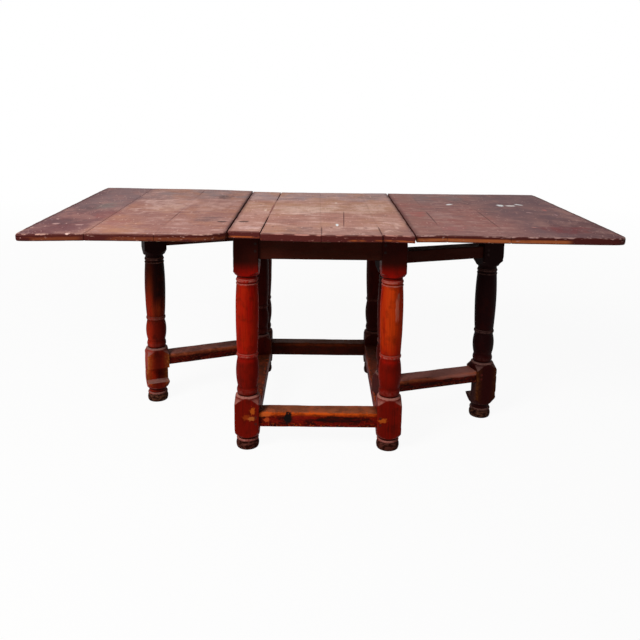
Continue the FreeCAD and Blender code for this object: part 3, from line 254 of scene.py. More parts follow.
def scrubbed_top_paint(name, tones, shades, warm_from, edge, scratched, marks, chips, seed):
    """
    Thin oil paint on pine boards, scrubbed for generations: grain along the boards (Y), scuffs
    and wipes across them (X), dark arrises and seams, paint chipped off in small flecks. The
    fine grain and the pores are drawn coarser than real ones, so that they show. Painted light
    is laid on too: a greyer painted reflection towards the back, a pale painted highlight along
    the front arris, and painted shade along the bottom of the front edge.
    """
    material, tree = new_tree(name)
    ground, light, warm, dark, scuff = tones
    wide = patches(tree, (240, 200, 100), 0.40, 0.62, shift=seed)
    blotch = patches(tree, (60, 90, 50), 0.42, 0.62, detail=5.0, shift=seed + 3, rough=0.65)
    amber = patches(tree, (130, 170, 90), 0.48, 0.62, detail=4.0, shift=seed + 21)
    wipe = patches(tree, (100, 32, 20), 0.49, 0.64, detail=5.0, shift=seed + 5, rough=0.75)
    smear = patches(tree, (80, 40, 20), 0.50, 0.66, detail=5.0, shift=seed + 9, rough=0.75)
    broken = patches(tree, (34, 44, 20), 0.40, 0.58, detail=5.0, shift=seed + 17, rough=0.7)
    fleck = patches(tree, (9, 24, 6), 0.66, 0.70, detail=2.0, shift=seed + 11)
    grain = patches(tree, (3.2, 170, 4), 0.30, 0.70, detail=2.0, shift=seed + 2)
    fine = patches(tree, (1.2, 60, 2), 0.25, 0.75, detail=1.0, shift=seed + 4)
    stroke = scratches(tree, (90, 130, 60), 0.05, shift=seed + 6)
    rub, side = [add(tree, "Attribute", attribute_name=mark).outputs["Fac"] for mark in ("rub", "side")]
    chipped = patches(tree, (26, 16, 9), 0.46, 0.58, shift=seed + 7)
    edge_dark, edge_low, worn_edge_and_highlight, fall, stretch, bright_runs, pale_runs = edge
    on_front = band(tree, 1, -425, -440)
    pale = product(tree, on_runs(tree, pale_runs), on_front)
    bare_low = patches(tree, (60, 30, 12), *stretch, detail=5.0, shift=seed + 13)
    nicked = patches(tree, (16, 8, 5), 0.64, 0.70, shift=seed + 15)
    colour = coats(
        tree, ground,
        *fades(tree, shades, (blotch, 1.0, 0.7)),
        (light, wide, (blotch, 0.1, 0.8)),
        (warm, amber, band(tree, *warm_from), (blotch, 0.8, 0.3)),
        (dark, smear, (wide, 0.7, 0.3)),
        (scuff, wipe, (blotch, 0.3, 0.85), (band(tree, *warm_from), 0.3, 1.0)),
        *spots(tree, marks, 0.9, (broken, 0.25, 1.0)),
        *spots(tree, [(scuff, *scratched)], 0.8, stroke, (broken, 0.3, 1.0)),
        (dark, grain, (fine, 0.0, 0.25)),
        (scuff, (fleck, 0.0, 0.6)),
        (edge_dark, (rub, 0.0, 0.85)),
        # a pale line along the front arris on given runs: worn paint with a painted highlight
        (worn_edge_and_highlight, rub, chipped, (pale, 0.0, 0.8)),
        *spots(tree, chips, 0.5),
        (coats(
            tree, edge_dark,
            (edge_low, on_runs(tree, bright_runs), band(tree, 2, *fall), bare_low),
            # painted shade along the bottom of the front edge, under its lower arris
            (edge_dark, band(tree, 2, 743, 739)),
            (worn_edge_and_highlight, (nicked, 0.0, 0.4)),
        ), side),
    )
    pores = patches(tree, (2.5, 2.5, 2.5), 0.3, 0.7)
    reliefs = [(grain, -0.25), (fine, -0.08), (wipe, 0.10), (pores, 0.06)]
    surface(tree, colour, (wipe, 0.62, 0.78), reliefs, {"Specular IOR Level": 0.08})
    return material


def leg_paint(name, tones, shades, shade_under_top, chips):
    """
    Red oil paint on turned pine: brush streaks up the leg, dark grime in the grooves, paint rubbed
    thin on beads and corners, grey-pink dust on ledges, a scuffed foot. Painted light and shade
    are laid on too: painted shade under the top and over the pieces that stand in shade, painted
    highlights on the bead crests, painted sheen on upward faces, and fades and a warm share that
    are partly painted light.
    """
    material, tree = new_tree(name)
    ground, warm, dark, dust_and_sheen, foot_worn, bare_corner = tones
    tall = patches(tree, (26, 26, 190), 0.34, 0.58, detail=4.0)
    streak = patches(tree, (5, 5, 110), 0.42, 0.68, detail=3.0, shift=4.0)
    blotch = patches(tree, (24, 24, 34), 0.50, 0.66, detail=5.0, shift=7.0)
    worn = patches(tree, (8, 8, 9), 0.46, 0.62, detail=4.0, shift=9.0)
    crest, hollow, warm_and_lit, painted_shade, worn_corner = [
        add(tree, "Attribute", attribute_name=mark).outputs["Fac"]
        for mark in ("rub", "hollow", "warm", "in_shade", "corner")
    ]
    rubbed = patches(tree, (9, 9, 12), 0.36, 0.62, detail=4.0, shift=12.0)
    crest_wear_and_highlight = product(tree, crest, rubbed, (painted_shade, 1.0, 0.3))
    low = band(tree, 2, 34, 25)
    colour = coats(
        tree, ground,
        # warm orange by each piece's warm share: partly the paint, partly painted light on the lit pieces
        (warm, tall, warm_and_lit, (blotch, 0.75, 1.0), band(tree, 2, 300, 380), band(tree, 2, 600, 560)),
        *fades(tree, shades, (blotch, 1.0, 0.8)),
        (dark, streak, (tall, 0.5, 0.15)),
        (dark, (blotch, 0.0, 0.4)),
        # painted shade over the pieces that stand in shade
        (dark, painted_shade),
        # painted shade under the top
        (dark, band(tree, 2, *shade_under_top), (blotch, 0.97, 0.92)),
        (dark, (hollow, 0.0, 0.85)),
        # painted highlights on the bead crests, where the paint is also rubbed thin
        (dust_and_sheen, (crest_wear_and_highlight, 0.0, 0.7), band(tree, 2, 660, 620)),
        # bare wood on worn corners, scaled by the warm share, so partly painted light
        (bare_corner, worn_corner, band(tree, 2, 215, 190), (worn, 0.35, 1.0), warm_and_lit),
        # grey-pink dust and painted sheen on the upward faces
        (dust_and_sheen, facing_up(tree, 0.3, 0.85), (worn, 0.9, 0.6), (painted_shade, 1.0, 0.3)),
        *spots(tree, chips, 0.9),
        (foot_worn, low, (blotch, 0.95, 0.75)),
        (dark, low, patches(tree, (12, 12, 7), 0.44, 0.58, detail=5.0, shift=15.0)),
    )
    dull = add(tree, "Math", (crest_wear_and_highlight, low), operation="MAXIMUM")
    reliefs = [(streak, 0.12), (patches(tree, (2, 2, 3), 0.3, 0.7), 0.08), (worn, -0.1)]
    surface(tree, colour, (dull, 0.62, 0.78), reliefs, {"Specular IOR Level": 0.04})
    return material


def rail_finish(name, tones, arris, dust_from, dim_runs, chips):
    """
    Red-brown oil paint on planed pine bars, black in patches with old dirt; on the low ones
    the upper face is rubbed to brown wood and the upper arris to orange, less so on dim runs.
    Painted shade darkens the bars under the top, the bars at the back and the dim runs' upper
    faces, and painted sheen lies with the dust on the upper faces.
    """
    material, tree = new_tree(name)
    ground, worn, black, dust_and_sheen, shaded = tones
    streak = patches(tree, (130, 130, 6), 0.38, 0.66, detail=4.0)
    blotch = patches(tree, (50, 50, 24), 0.42, 0.60, detail=5.0, shift=5.0)
    patch = patches(tree, (44, 44, 14), 0.46, 0.56, detail=5.0, shift=8.0, rough=0.65)
    speck = patches(tree, (7, 7, 5), 0.56, 0.64, detail=3.0, shift=2.0)
    rub = add(tree, "Attribute", attribute_name="rub").outputs["Fac"]
    low = band(tree, 2, 420, 220)
    high_on_bar = band(tree, 2, *arris)
    up = facing_up(tree, 0.4, 0.9)
    dim = on_runs(tree, dim_runs)
    colour = coats(
        tree, ground,
        (black, patch, (low, 0.35, 0.85)),
        (black, streak, (low, 0.6, 0.3)),
        (worn, low, high_on_bar, (rub, 0.45, 1.0), (patch, 1.0, 0.5), (dim, 1.0, 0.2)),
        # dust, brown worn wood and painted sheen on the upper faces
        (dust_and_sheen, up, low, (blotch, *dust_from), (dim, 1.0, 0.35)),
        # painted shade on the upper faces of the dim runs
        (shaded, up, low, (dim, 0.0, 0.5)),
        (black, up, low, (patch, 0.0, 0.3)),
        (worn, speck, (rub, 0.1, 0.8), low),
        # painted shade under the top
        (shaded, band(tree, 2, 450, 600), (streak, 0.95, 0.75)),
        # painted shade on the bars at the back
        (shaded, band(tree, 1, 80, 250), (0.8,)),
        *spots(tree, chips, 0.8),
    )
    reliefs = [(streak, 0.12), (patch, -0.15), (speck, -0.1)]
    surface(tree, colour, (blotch, 0.6, 0.74), reliefs, {"Specular IOR Level": 0.05})
    return material


def peg_finish(name, ground, worn, shaded):
    """Whittled pine pegs under the same paint, ends rubbed to end grain, painted shade black under the top.
    """
    material, tree = new_tree(name)
    rings = patches(tree, (3, 3, 3), 0.4, 0.6, detail=3.0)
    blotch = patches(tree, (12, 12, 12), 0.4, 0.65, detail=4.0, shift=3.0)
    # high up the shaded tone: painted shade on the pegs under the top
    colour = coats(tree, ground, (worn, blotch, (rings, 0.5, 1.0)), (shaded, band(tree, 2, 560, 640)))
    surface(tree, colour, (blotch, 0.5, 0.65), [(rings, 0.1)], {"Specular IOR Level": 0.08})
    return material


def unpainted_pine(name, ground, late, knot, stain):
    """Planed pine never painted, gone brown with age: growth rings along Y, a few knots."""
    material, tree = new_tree(name)
    rings = patches(tree, (6, 240, 8), 0.42, 0.58, detail=2.0)
    fine = patches(tree, (1.2, 70, 2), 0.3, 0.7, detail=1.0, shift=3.0)
    knots = patches(tree, (55, 75, 40), 0.70, 0.76, detail=1.0, shift=6.0)
    age = patches(tree, (180, 240, 90), 0.35, 0.65, detail=4.0, shift=8.0)
    colour = coats(tree, ground, (late, rings, (fine, 0.35, 0.8)), (stain, (age, 0.0, 0.6)), (knot, knots))
    surface(tree, colour, (rings, 0.72, 0.6), [(rings, 0.2), (fine, 0.08)], {"IOR": 1.45})
    return material


def rusted_iron(name, ground, rust, bright):
    """Hand-forged iron: hammer marks, a dark oxide skin with old rust, bright where it rubs."""
    material, tree = new_tree(name)
    hammer = patches(tree, (7, 7, 7), 0.35, 0.65, detail=1.0)
    red = patches(tree, (11, 11, 11), 0.45, 0.62, detail=6.0, shift=3.0)
    rubbed = patches(tree, (4, 4, 4), 0.66, 0.72, detail=2.0, shift=5.0)
    colour = coats(tree, ground, (rust, (red, 0.0, 0.75)), (bright, (rubbed, 0.0, 0.5)))
    surface(tree, colour, (red, 0.45, 0.8), [(hammer, 0.35), (red, 0.1)], {"Metallic": 0.55})
    return material


# ---- computed surfaces

def smooth_noise(points, size, seed):
    """
    Noise from 0 to 1 at points: a number hashed from each corner of a cubic lattice, size
    apart, blended between the eight corners by 3t^2 - 2t^3 along each axis.
    """
    place = np.asarray(points, float) / size + 1000.0
    cell = np.floor(place).astype(np.int64)
    part = place - cell
    part = part * part * (3 - 2 * part)
    total = np.zeros(place.shape[:-1])
    for corner in np.ndindex(2, 2, 2):
        key = (cell + corner) @ np.array([73856093, 19349663, 83492791]) + seed * 2654435761
        key = (key ^ (key >> 13)) * 1274126177 & 0x7FFFFFFF
        key = (key ^ (key >> 15)) * 668265263 & 0x7FFFFFFF
        weight = np.prod(np.where(corner, part, 1 - part), axis=-1)
        total += weight * ((key ^ (key >> 16)) % 65536) / 65535
    return total


def travelled(path):
    """Distance along a path in a plane to each of its points."""
    return np.concatenate([[0], np.cumsum(np.hypot(*np.diff(path, axis=0).T))])


def sampled(path, marks, places):
    """Points of a path in a plane at places between the marks of its own points."""
    return np.stack([np.interp(places, marks, path[:, i]) for i in (0, 1)], -1)


def quads(rows, columns, wrap):
    """Corner numbers of the squares of a grid of points, whose columns may close on themselves."""
    row = np.arange(rows - 1)[:, None] * columns
    column = np.arange(columns if wrap else columns - 1)[None, :]
    after = (column + 1) % columns
    corners = [row + column, row + after, row + columns + after, row + columns + column]
    return np.stack(np.broadcast_arrays(*corners), -1).reshape(-1, 4)


def capped_rings(rings, marks):
    """Rings of points, row by row, closed at both ends by a middle point: (points, faces, marks)."""
    rows, columns, _ = rings.shape
    points = rings.reshape(-1, 3)
    faces = quads(rows, columns, True).tolist()
    marks = {name: numbers.reshape(-1) for name, numbers in marks.items()}
    for row in (0, rows - 1):
        middle = len(points)
        points = np.vstack([points, rings[row].mean(0)])
        marks = {name: np.append(numbers, numbers[row * columns]) for name, numbers in marks.items()}
        ring = row * columns + np.arange(columns)
        faces += [[int(a), int(b), middle] for a, b in zip(ring, np.roll(ring, -1))]
    return points, faces, marks


WELD = 0.00002  # metres, nearer than which points are one
CREASE = 38  # degrees, past which an edge is sharp
LOOKS_DOWN = -0.7  # height of a unit normal, under which a face is an underside


def piece(name, body, node, shape, materials):
    """
    Makes a computed shape, (points, faces, marks), an object: its seams welded, its faces
    turned outwards and smooth, riding on a body in place of a node. A second material is for
    the faces that look down.
    """
    points, faces, marks = shape
    mesh = bpy.data.meshes.new(name)
    mesh.from_pydata((np.asarray(points) * MM).tolist(), [], faces)
    for label, numbers in marks.items():
        values = mesh.attributes.new(label, "FLOAT", "POINT").data
        values.foreach_set("value", np.asarray(numbers, np.float32))
    work = bmesh.new()
    work.from_mesh(mesh)
    bmesh.ops.remove_doubles(work, verts=work.verts, dist=WELD)
    bmesh.ops.recalc_face_normals(work, faces=work.faces)
    work.to_mesh(mesh)
    work.free()
    mesh.polygons.foreach_set("use_smooth", np.ones(len(mesh.polygons), bool))
    mesh.set_sharp_from_angle(angle=math.radians(CREASE))
    for material in materials:
        mesh.materials.append(material)
    if len(materials) > 1:
        normals = np.zeros(len(mesh.polygons) * 3, np.float32)
        mesh.polygons.foreach_get("normal", normals)
        mesh.polygons.foreach_set("material_index", (normals[2::3] < LOOKS_DOWN).astype(np.int32))
    thing = placed(name, mesh)
    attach(thing, body)
    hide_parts(node)


def turned_to(points, origin, degrees):
    """Points turned about the upright through their origin and carried to a place in plan."""
    angle = math.radians(degrees)
    x, y, z = points[..., 0], points[..., 1], points[..., 2]
    return np.stack([
        origin[0] + x * math.cos(angle) - y * math.sin(angle),
        origin[1] + x * math.sin(angle) + y * math.cos(angle), z,
    ], -1)


# ---- turned legs and posts

def bead(crest, side, height):
    """Distance from the axis of the centre of a bead that rises from side to crest."""
    return crest - ((height / 2) ** 2 + (crest - side) ** 2) / (2 * (crest - side))


def motif(low, high, rise, fall, slim):
    """Ring, bulb, bead, swelling shaft, collar and cap bead: (radius, height, rule of an arc)."""
    level = np.cumsum([low, 4, 22, 4, rise, fall, 4, 15, 4])
    neck, collar, bead_crest = 33.5 - slim, 36.5 - slim, 36.5 - slim
    return [
        (neck, low), (neck, level[1], bead(36 - slim, neck, 22)), (neck, level[2]),
        (33 - slim, level[3], "end"), (38.5 - slim, level[4], "start"), (neck, level[5]),
        (neck, level[6], bead(bead_crest, neck, 15)), (neck, level[7]),
        (34.5 - slim, level[8], "end"), (38.5 - slim, high - 119, "start"),
        (35 - slim, high - 29), (collar, high - 29), (collar, high - 25),
        (neck, high - 25), (neck, high - 21, bead(bead_crest, neck, 12)),
        (neck, high - 9), (neck, high),
    ]


def squared_stages(low, turned, high, swell, blank, slim=0.0):
    """
    Square block, hollow shoulder, turning, shoulder and block again. Blank is the radius that
    clears the block's corners. A shoulder's radius is sqrt(face^2 + (blank^2 - face^2) s^1.6)
    at a share s of its height, so that the block's faces end in pointed arches, and it ends
    in a lip 4 mm from the turning.
    """
    face = blank / math.sqrt(2) - 0.35
    share = np.linspace(0, 1, 7)
    flare = np.sqrt(face ** 2 + (blank ** 2 - face ** 2) * share ** 1.6)
    lower, upper = [
        [(r, z) for r, z in zip(flare, lip + (end - lip) * share)]
        for lip, end in ((turned[0] - 4, low), (turned[1] + 4, high))
    ]
    return [*lower[::-1], *motif(*turned, *swell, slim), *upper]


def leg_stages(ankle, block, turned, high, swell, top):
    """A leg from the floor: beaded foot, groove, ring, ankle, lower block, turning, upper block."""
    return [
        (36.5, 0, bead(39, 36.5, 24)), (36.5, 24), (34.5, 24), (34.5, 27),
        (36, 27, bead(37.6, 36, 8)), (36, 35), (33.5, 35), (33.5, ankle),
        (41, ankle + 4), (LEG_CLEAR, block[0]),
        *squared_stages(block[1], turned, high, swell, LEG_CLEAR), (LEG_CLEAR, top),
    ]


def arc_points(start, end, rule):
    """
    Points along the arc that turns left from start to end, as (radius, height): its centre is
    level with its start or end, or at a given distance from the axis, midway in height.
    """
    (r0, z0), (r1, z1) = start, end
    if rule == "start":
        centre = (r0 + ((r1 - r0) ** 2 + (z1 - z0) ** 2) / (2 * (r1 - r0)), z0)
    elif rule == "end":
        centre = (r1 - ((r1 - r0) ** 2 + (z1 - z0) ** 2) / (2 * (r1 - r0)), z1)
    else:
        centre = (rule, (z0 + z1) / 2)
    first = math.atan2(z0 - centre[1], r0 - centre[0])
    last = math.atan2(z1 - centre[1], r1 - centre[0])
    turn = np.linspace(first, last + (2 * math.pi if last < first else 0), 25)[:-1]
    radius = math.hypot(r0 - centre[0], z0 - centre[1])
    return np.stack([centre[0] + radius * np.cos(turn), centre[1] + radius * np.sin(turn)], -1)


def softened_profile(stages, side):
    """
    Rows (radius, height) of a turning: its stages sampled every 0.4 mm, each point the
    bell-weighted mean of its neighbours within 1.6 mm, and then thinned to rows at most
    5 mm apart, 9 degrees of bend apart, and 1.2 mm apart on the square blank's shoulders.
    """
    path = []
    for (r, z, *rule), end in zip(stages, stages[1:]):
        path += arc_points((r, z), end[:2], *rule).tolist() if rule else [(r, z)]
    path = np.array(path + [stages[-1][:2]])
    along = travelled(path)
    step = 0.4
    dense = sampled(path, along, np.arange(0, along[-1] + step, step))
    bell = np.exp(-0.5 * (np.arange(-4, 5) / 1.7) ** 2)
    bell = bell / bell.sum()
    padded = np.pad(dense, ((4, 4), (0, 0)), "edge")
    soft = np.stack([np.convolve(padded[:, i], bell, "valid") for i in (0, 1)], -1)
    soft[0], soft[-1] = dense[0], dense[-1]
    slope = np.unwrap(np.arctan2(*np.diff(soft, axis=0).T))
    bend = np.abs(np.diff(slope, prepend=0, append=0))[1:]
    shoulder = (soft[1:, 0] > side / 2 - 1) & (soft[1:, 0] < side / math.sqrt(2) + 0.4)
    cost = np.cumsum(step / 5 + bend[:len(soft) - 1] / math.radians(9) + shoulder * step / 1.2)
    picked = 1 + np.searchsorted(cost, np.arange(0, cost[-1]))
    rows = np.unique(np.concatenate([[0], picked, [len(soft) - 1]]))
    return soft[np.clip(rows, 0, len(soft) - 1)]


def squared_turning(stages, side, seed, warm, in_shade, notches=()):
    """
    A turned piece cut from a square blank. At height z and angle a its radius is the soft
    lesser, (t^-60 + s^-60)^(-1/60), of the turning t(z) and of the blank
    s(a) = (side/2) / (|cos a|^n + |sin a|^n)^(1/n), whose exponent n of 26 to 44 gives
    corners worn by the noise, less small dents. In a notch, points beyond a plane y = limit
    lie on it.
    """
    profile = softened_profile(stages, side)
    levels = profile
    for edge in [edge for notch in notches for edge in notch[:2]]:
        level = np.array([[np.interp(edge, profile[:, 1], profile[:, 0]), edge]])
        place = np.searchsorted(levels[:, 1], edge)
        levels = np.insert(levels, place, np.repeat(level, 2, 0), axis=0)
    columns = 192
    angle = np.linspace(0, 2 * math.pi, columns, endpoint=False)[None, :]
    turned, height = levels[:, :1], levels[:, 1:]
    c, s = np.cos(angle), np.sin(angle)
    rough = np.stack(np.broadcast_arrays(c * 60, s * 60, height), -1)
    corner_wear = smooth_noise(rough, 26, seed)
    n = 44 - 18 * corner_wear
    blank = (side / 2) / (np.abs(c) ** n + np.abs(s) ** n) ** (1 / n)
    cornered = np.clip((blank / (side / 2) - 1) / 0.38, 0, 1) ** 2
    knocks = np.clip(smooth_noise(rough, 11, seed + 1) - 0.62, 0, 1) * 6 * cornered
    blank = blank - knocks
    radius = (turned ** -60.0 + blank ** -60.0) ** (-1 / 60)
    dents = (0.45 * smooth_noise(rough, 34, seed + 2), 0.2 * smooth_noise(rough, 9, seed + 3))
    radius = radius - dents[0] - dents[1]
    rings = np.stack(np.broadcast_arrays(radius * c, radius * s, height), -1).copy()
    # the mean radius of the turning within 9 mm, which beads pass and grooves fall short of
    wide = np.array([np.mean(profile[np.abs(profile[:, 1] - z) < 9, 0]) for z in levels[:, 1]])[:, None]
    on_square = np.clip((turned - blank) / 2, 0, 1)
    hollow = np.clip((wide - turned) / 3.0, 0, 1) * (1 - on_square)
    crest = np.clip((turned - wide - 0.5) / 1.4, 0, 1) * (1 - on_square)
    corner = cornered * on_square
    for low, high, limit in notches:
        first = np.flatnonzero(levels[:, 1] == low)[-1] if low > levels[0, 1] else 0
        last = np.flatnonzero(levels[:, 1] == high)[0] if high < levels[-1, 1] else len(levels) - 1
        rows = slice(first, last + 1)
        rings[rows, :, 1] = np.minimum(rings[rows, :, 1], limit)
    marks = {"rub": crest, "hollow": hollow, "corner": corner, "warm": warm, "in_shade": in_shade}
    return rings, {name: np.broadcast_to(numbers, rings.shape[:2]) for name, numbers in marks.items()}


# ---- bars

def worn_bar(start, end, width, bottom, top, wear, seed, notch=None):
    """
    A bar between two points in plan: a rounded rectangle carried along a line. Its corner
    radius is 1.2 mm plus the corner's wear times the noise along it, for the corners left
    low, right low, right high and left high of the direction. In a notch, points right of a
    plane lie on it.
    """
    start, end = np.array(start, float), np.array(end, float)
    length = np.hypot(*(end - start))
    along = np.linspace(0, length, max(int(length / 6), 8))
    if notch:
        along = np.sort(np.concatenate([along, notch[:2], notch[:2]]))
    direction = (end - start) / length
    right = np.array([direction[1], -direction[0]])
    half, tall = width / 2, (top - bottom) / 2
    corners = []
    for number, (side, up) in enumerate([(-1, -1), (1, -1), (1, 1), (-1, 1)]):
        first, last = np.radians([[180, 270], [270, 360], [0, 90], [90, 180]])[number]
        here = np.stack([*np.outer(direction, along), np.full_like(along, 60.0 * number)], -1)
        radius = 1.2 + wear[number] * (0.35 + 0.65 * smooth_noise(here, 70, seed + number))
        radius = radius + 0.25 * wear[number] * smooth_noise(here, 14, seed + 7 + number)
        turn = np.linspace(first, last, 6)[None, :]
        centre = np.stack([side * (half - radius), up * (tall - radius)], -1)[:, None, :]
        corners.append(centre + radius[:, None, None] * np.stack([np.cos(turn), np.sin(turn)], -1))
    section, marks = [], []
    for number in range(4):
        arc, after = corners[number], corners[(number + 1) % 4]
        section.append(arc)
        marks.append(np.ones(arc.shape[:2]))
        gap = width if number % 2 == 0 else 2 * tall
        count = max(int(gap / 7), 3)
        share = np.linspace(0, 1, count + 2)[1:-1]
        section.append(arc[:, -1:] * (1 - share[:, None]) + after[:, :1] * share[:, None])
        near_corner = np.exp(-np.minimum(share, 1 - share) * gap / 7)
        marks.append(np.broadcast_to(near_corner, (len(along), count)))
    section = np.concatenate(section, 1)
    across, up = section[..., 0], section[..., 1]
    if notch:
        low, high, limit = notch
        rows = slice(np.flatnonzero(along == low)[-1], np.flatnonzero(along == high)[0] + 1)
        across[rows] = np.minimum(across[rows], limit)
    x = start[0] + along[:, None] * direction[0] + across * right[0]
    y = start[1] + along[:, None] * direction[1] + across * right[1]
    rings = np.stack([x, y, (bottom + top) / 2 + up], -1)
    dent = 0.5 * smooth_noise(rings, 45, seed + 11) + 0.2 * smooth_noise(rings, 12, seed + 12)
    level = np.full_like(x, (bottom + top) / 2)
    middle = np.stack([x - across * right[0], y - across * right[1], level], -1)
    reach = np.linalg.norm(rings - middle, axis=-1, keepdims=True)
    rings = middle + (rings - middle) * (1 - dent[..., None] / np.maximum(reach, 1))
    return capped_rings(rings, {"rub": np.concatenate(marks, 1)})


# ---- boards

ACROSS, ALONG = 40, 96  # points across a board and along it
MARGIN = 18.0  # from a board's edge to the grid of its face
# arris radii of a board's front, outer and back edges and of its edge at a hinge; those of the
# seams between boards are under 1
FRONT, OUTER, BACK, HINGED = 4, 3.5, 3, 2.3


def crowded(count):
    """Places x - 0.11 sin(2 pi x) from 0 to 1, five times closer at the ends than in the middle."""
    even = np.linspace(0, 1, count)
    return even - 0.11 * np.sin(2 * math.pi * even)


def outline(corners, radii, bends):
    """
    The four sides of a board in plan, counter-clockwise from the front left, each from the
    middle of one rounded corner to the middle of the next, as points at crowded places.
    """
    corners = [np.array(corner, float) for corner in corners]
    path, breaks = [], []
    for number, here in enumerate(corners):
        before = bends.get((number - 1) % 4, [corners[number - 1]])[-1]
        after = bends.get(number, [corners[(number + 1) % 4]])[0]
        into, out = here - before, after - here
        into, out = into / np.hypot(*into), out / np.hypot(*out)
        turn = math.atan2(into[0] * out[1] - into[1] * out[0], into @ out)
        setback = radii[number] * math.tan(turn / 2)
        centre = here - into * setback + radii[number] * np.array([-into[1], into[0]])
        swing = math.atan2(-into[0], into[1]) + np.linspace(0, turn, 13)
        breaks.append(len(path) + 6)
        arc = centre + radii[number] * np.stack([np.cos(swing), np.sin(swing)], -1)
        path += [*arc, *bends.get(number, [])]
    path = np.array(path)
    sides = []
    for number, count in enumerate((ACROSS, ALONG, ACROSS, ALONG)):
        first, last = breaks[number], breaks[(number + 1) % 4]
        run = path[first:last + 1] if last > first else np.vstack([path[first:], path[:last + 1]])
        along = travelled(run)
        sides.append(sampled(run, along, crowded(count) * along[-1]))
    return sides


def inside(sides, s, t):
    """
    Points of a board in plan at shares s across it and t along it: the sum of the straight
    blends between its front and back and between its left and right, less the blend of its
    four corners.
    """
    front, right, back, left = [
        sampled(side[::way], crowded(len(side)), share)
        for side, share, way in zip(sides, (s, t, s, t), (1, 1, -1, -1))
    ]
    s, t = s[..., None], t[..., None]
    flat = (1 - t) * front + t * back + (1 - s) * left + s * right
    ends = [(1 - s) * (1 - t), s * (1 - t), s * t, (1 - s) * t]
    return flat - sum(share * side[0] for share, side in zip(ends, sides))


def worn_board(corners, radii, bends, arrises, lower_arris, settle, seed):
    """
    A board: a patch above and one below, joined by rings that follow its outline, inset by
    r (1 - sin a) and r (1 - cos a) below the upper face for the arris, and the same below.
    Each side has its own arris r, which the noise wears, and outer sides wander by up to
    1.2 mm. The upper face is dished by the noise and a little cupped.
    """
    sides = outline(corners, radii, bends)
    s, t = crowded(ACROSS), crowded(ALONG)
    round_s = np.concatenate([s[:-1], np.ones(ALONG - 1), s[:0:-1], np.zeros(ALONG - 1)])
    round_t = np.concatenate([np.zeros(ACROSS - 1), t[:-1], np.ones(ACROSS - 1), t[:0:-1]])
    loop = inside(sides, round_s, round_t)
    flat = np.column_stack([loop, np.zeros(len(loop))])
    size = np.repeat(np.array(arrises, float), [ACROSS - 1, ALONG - 1, ACROSS - 1, ALONG - 1])
    size = np.maximum(size, np.roll(size, 1))
    outer = (size >= HINGED).astype(float)
    dark_reach = np.where(size == OUTER, 9 + 5 * smooth_noise(flat, 40, seed + 6), 5.0)
    wander = outer * (0.9 * smooth_noise(flat, 60, seed) + 0.35 * smooth_noise(flat, 13, seed + 1))
    arris = size * (0.55 + 0.9 * smooth_noise(flat, 24, seed + 2))
    rounded = [corner for corner, radius in zip(corners, radii) if radius > 10]
    knocked = sum(np.exp(-np.hypot(*(loop - corner).T) / 45) for corner in rounded) + np.zeros(len(loop))
    arris = arris + 7 * knocked
    width, length = [np.ptp([corner[i] for corner in corners]) for i in (0, 1)]
    middle = np.mean([corner[0] for corner in corners])

    def upper(x, y):
        where = np.stack([x, y, np.zeros_like(x)], -1)
        dish = 0.3 * smooth_noise(where, 90, seed + 4) + 0.12 * smooth_noise(where, 22, seed + 5)
        return TOP - settle - dish - 0.25 * ((x - middle) / width * 2) ** 2

    rings, rub, side = [], [], []

    def ring(inset, drop, rubbed, on_side, lower=False):
        ds, dt = inset / width, inset / length
        edge = inside(sides, ds + round_s * (1 - 2 * ds), dt + round_t * (1 - 2 * dt))
        z = UNDERSIDE + drop if lower else upper(*edge.T) - drop
        rings.append(np.column_stack([edge, np.broadcast_to(z, len(edge))]))
        rub.append(np.broadcast_to(rubbed, len(edge)))
        side.append(np.full(len(edge), on_side))

    still = np.zeros(len(loop))
    for distance in (MARGIN, 12.0, 8.0):
        dark = outer * np.exp(np.minimum(dark_reach - distance, 0) / 4)
        ring(still + distance, 0.0, dark, 0.0)
    for a in np.radians([0, 25, 50, 75, 90]):
        inset, drop = arris * (1 - math.sin(a)), arris * (1 - math.cos(a))
        ring(wander + inset, drop, np.minimum(arris / 2.5, 1), float(a > 1.2))
    for share in (0.75, 0.5, 0.3):
        ring(wander, (TOP - UNDERSIDE) * share + still, 0.2, 1.0, True)
    low = lower_arris * (0.7 + 0.6 * smooth_noise(flat, 30, seed + 3)) + 6.5 * knocked
    for a in np.radians([90, 60, 30, 0]):
        ring(wander + low * (1 - math.sin(a)), low * (1 - math.cos(a)), 0.5, 1.0, True)
    ring(still + MARGIN, 0.0, 0.0, 0.0, True)
    ds, dt = MARGIN / width, MARGIN / length
    places = np.broadcast_arrays(ds + s * (1 - 2 * ds), dt + t[:, None] * (1 - 2 * dt))
    grid = inside(sides, *places)
    points = [
        np.dstack([grid, upper(grid[..., 0], grid[..., 1])]).reshape(-1, 3),
        np.concatenate(rings),
        np.dstack([grid, np.full(grid.shape[:2], UNDERSIDE)]).reshape(-1, 3),
    ]
    count = ACROSS * ALONG
    face, edge = quads(ALONG, ACROSS, False), quads(len(rings), len(loop), True)
    faces = np.concatenate([face, edge + count, face + count + len(rings) * len(loop)])
    blank = np.zeros(count)
    marks = {label: np.concatenate([blank, *rows, blank]) for label, rows in (("rub", rub), ("side", side))}
    return np.concatenate(points), faces.tolist(), marks


# ---- the table

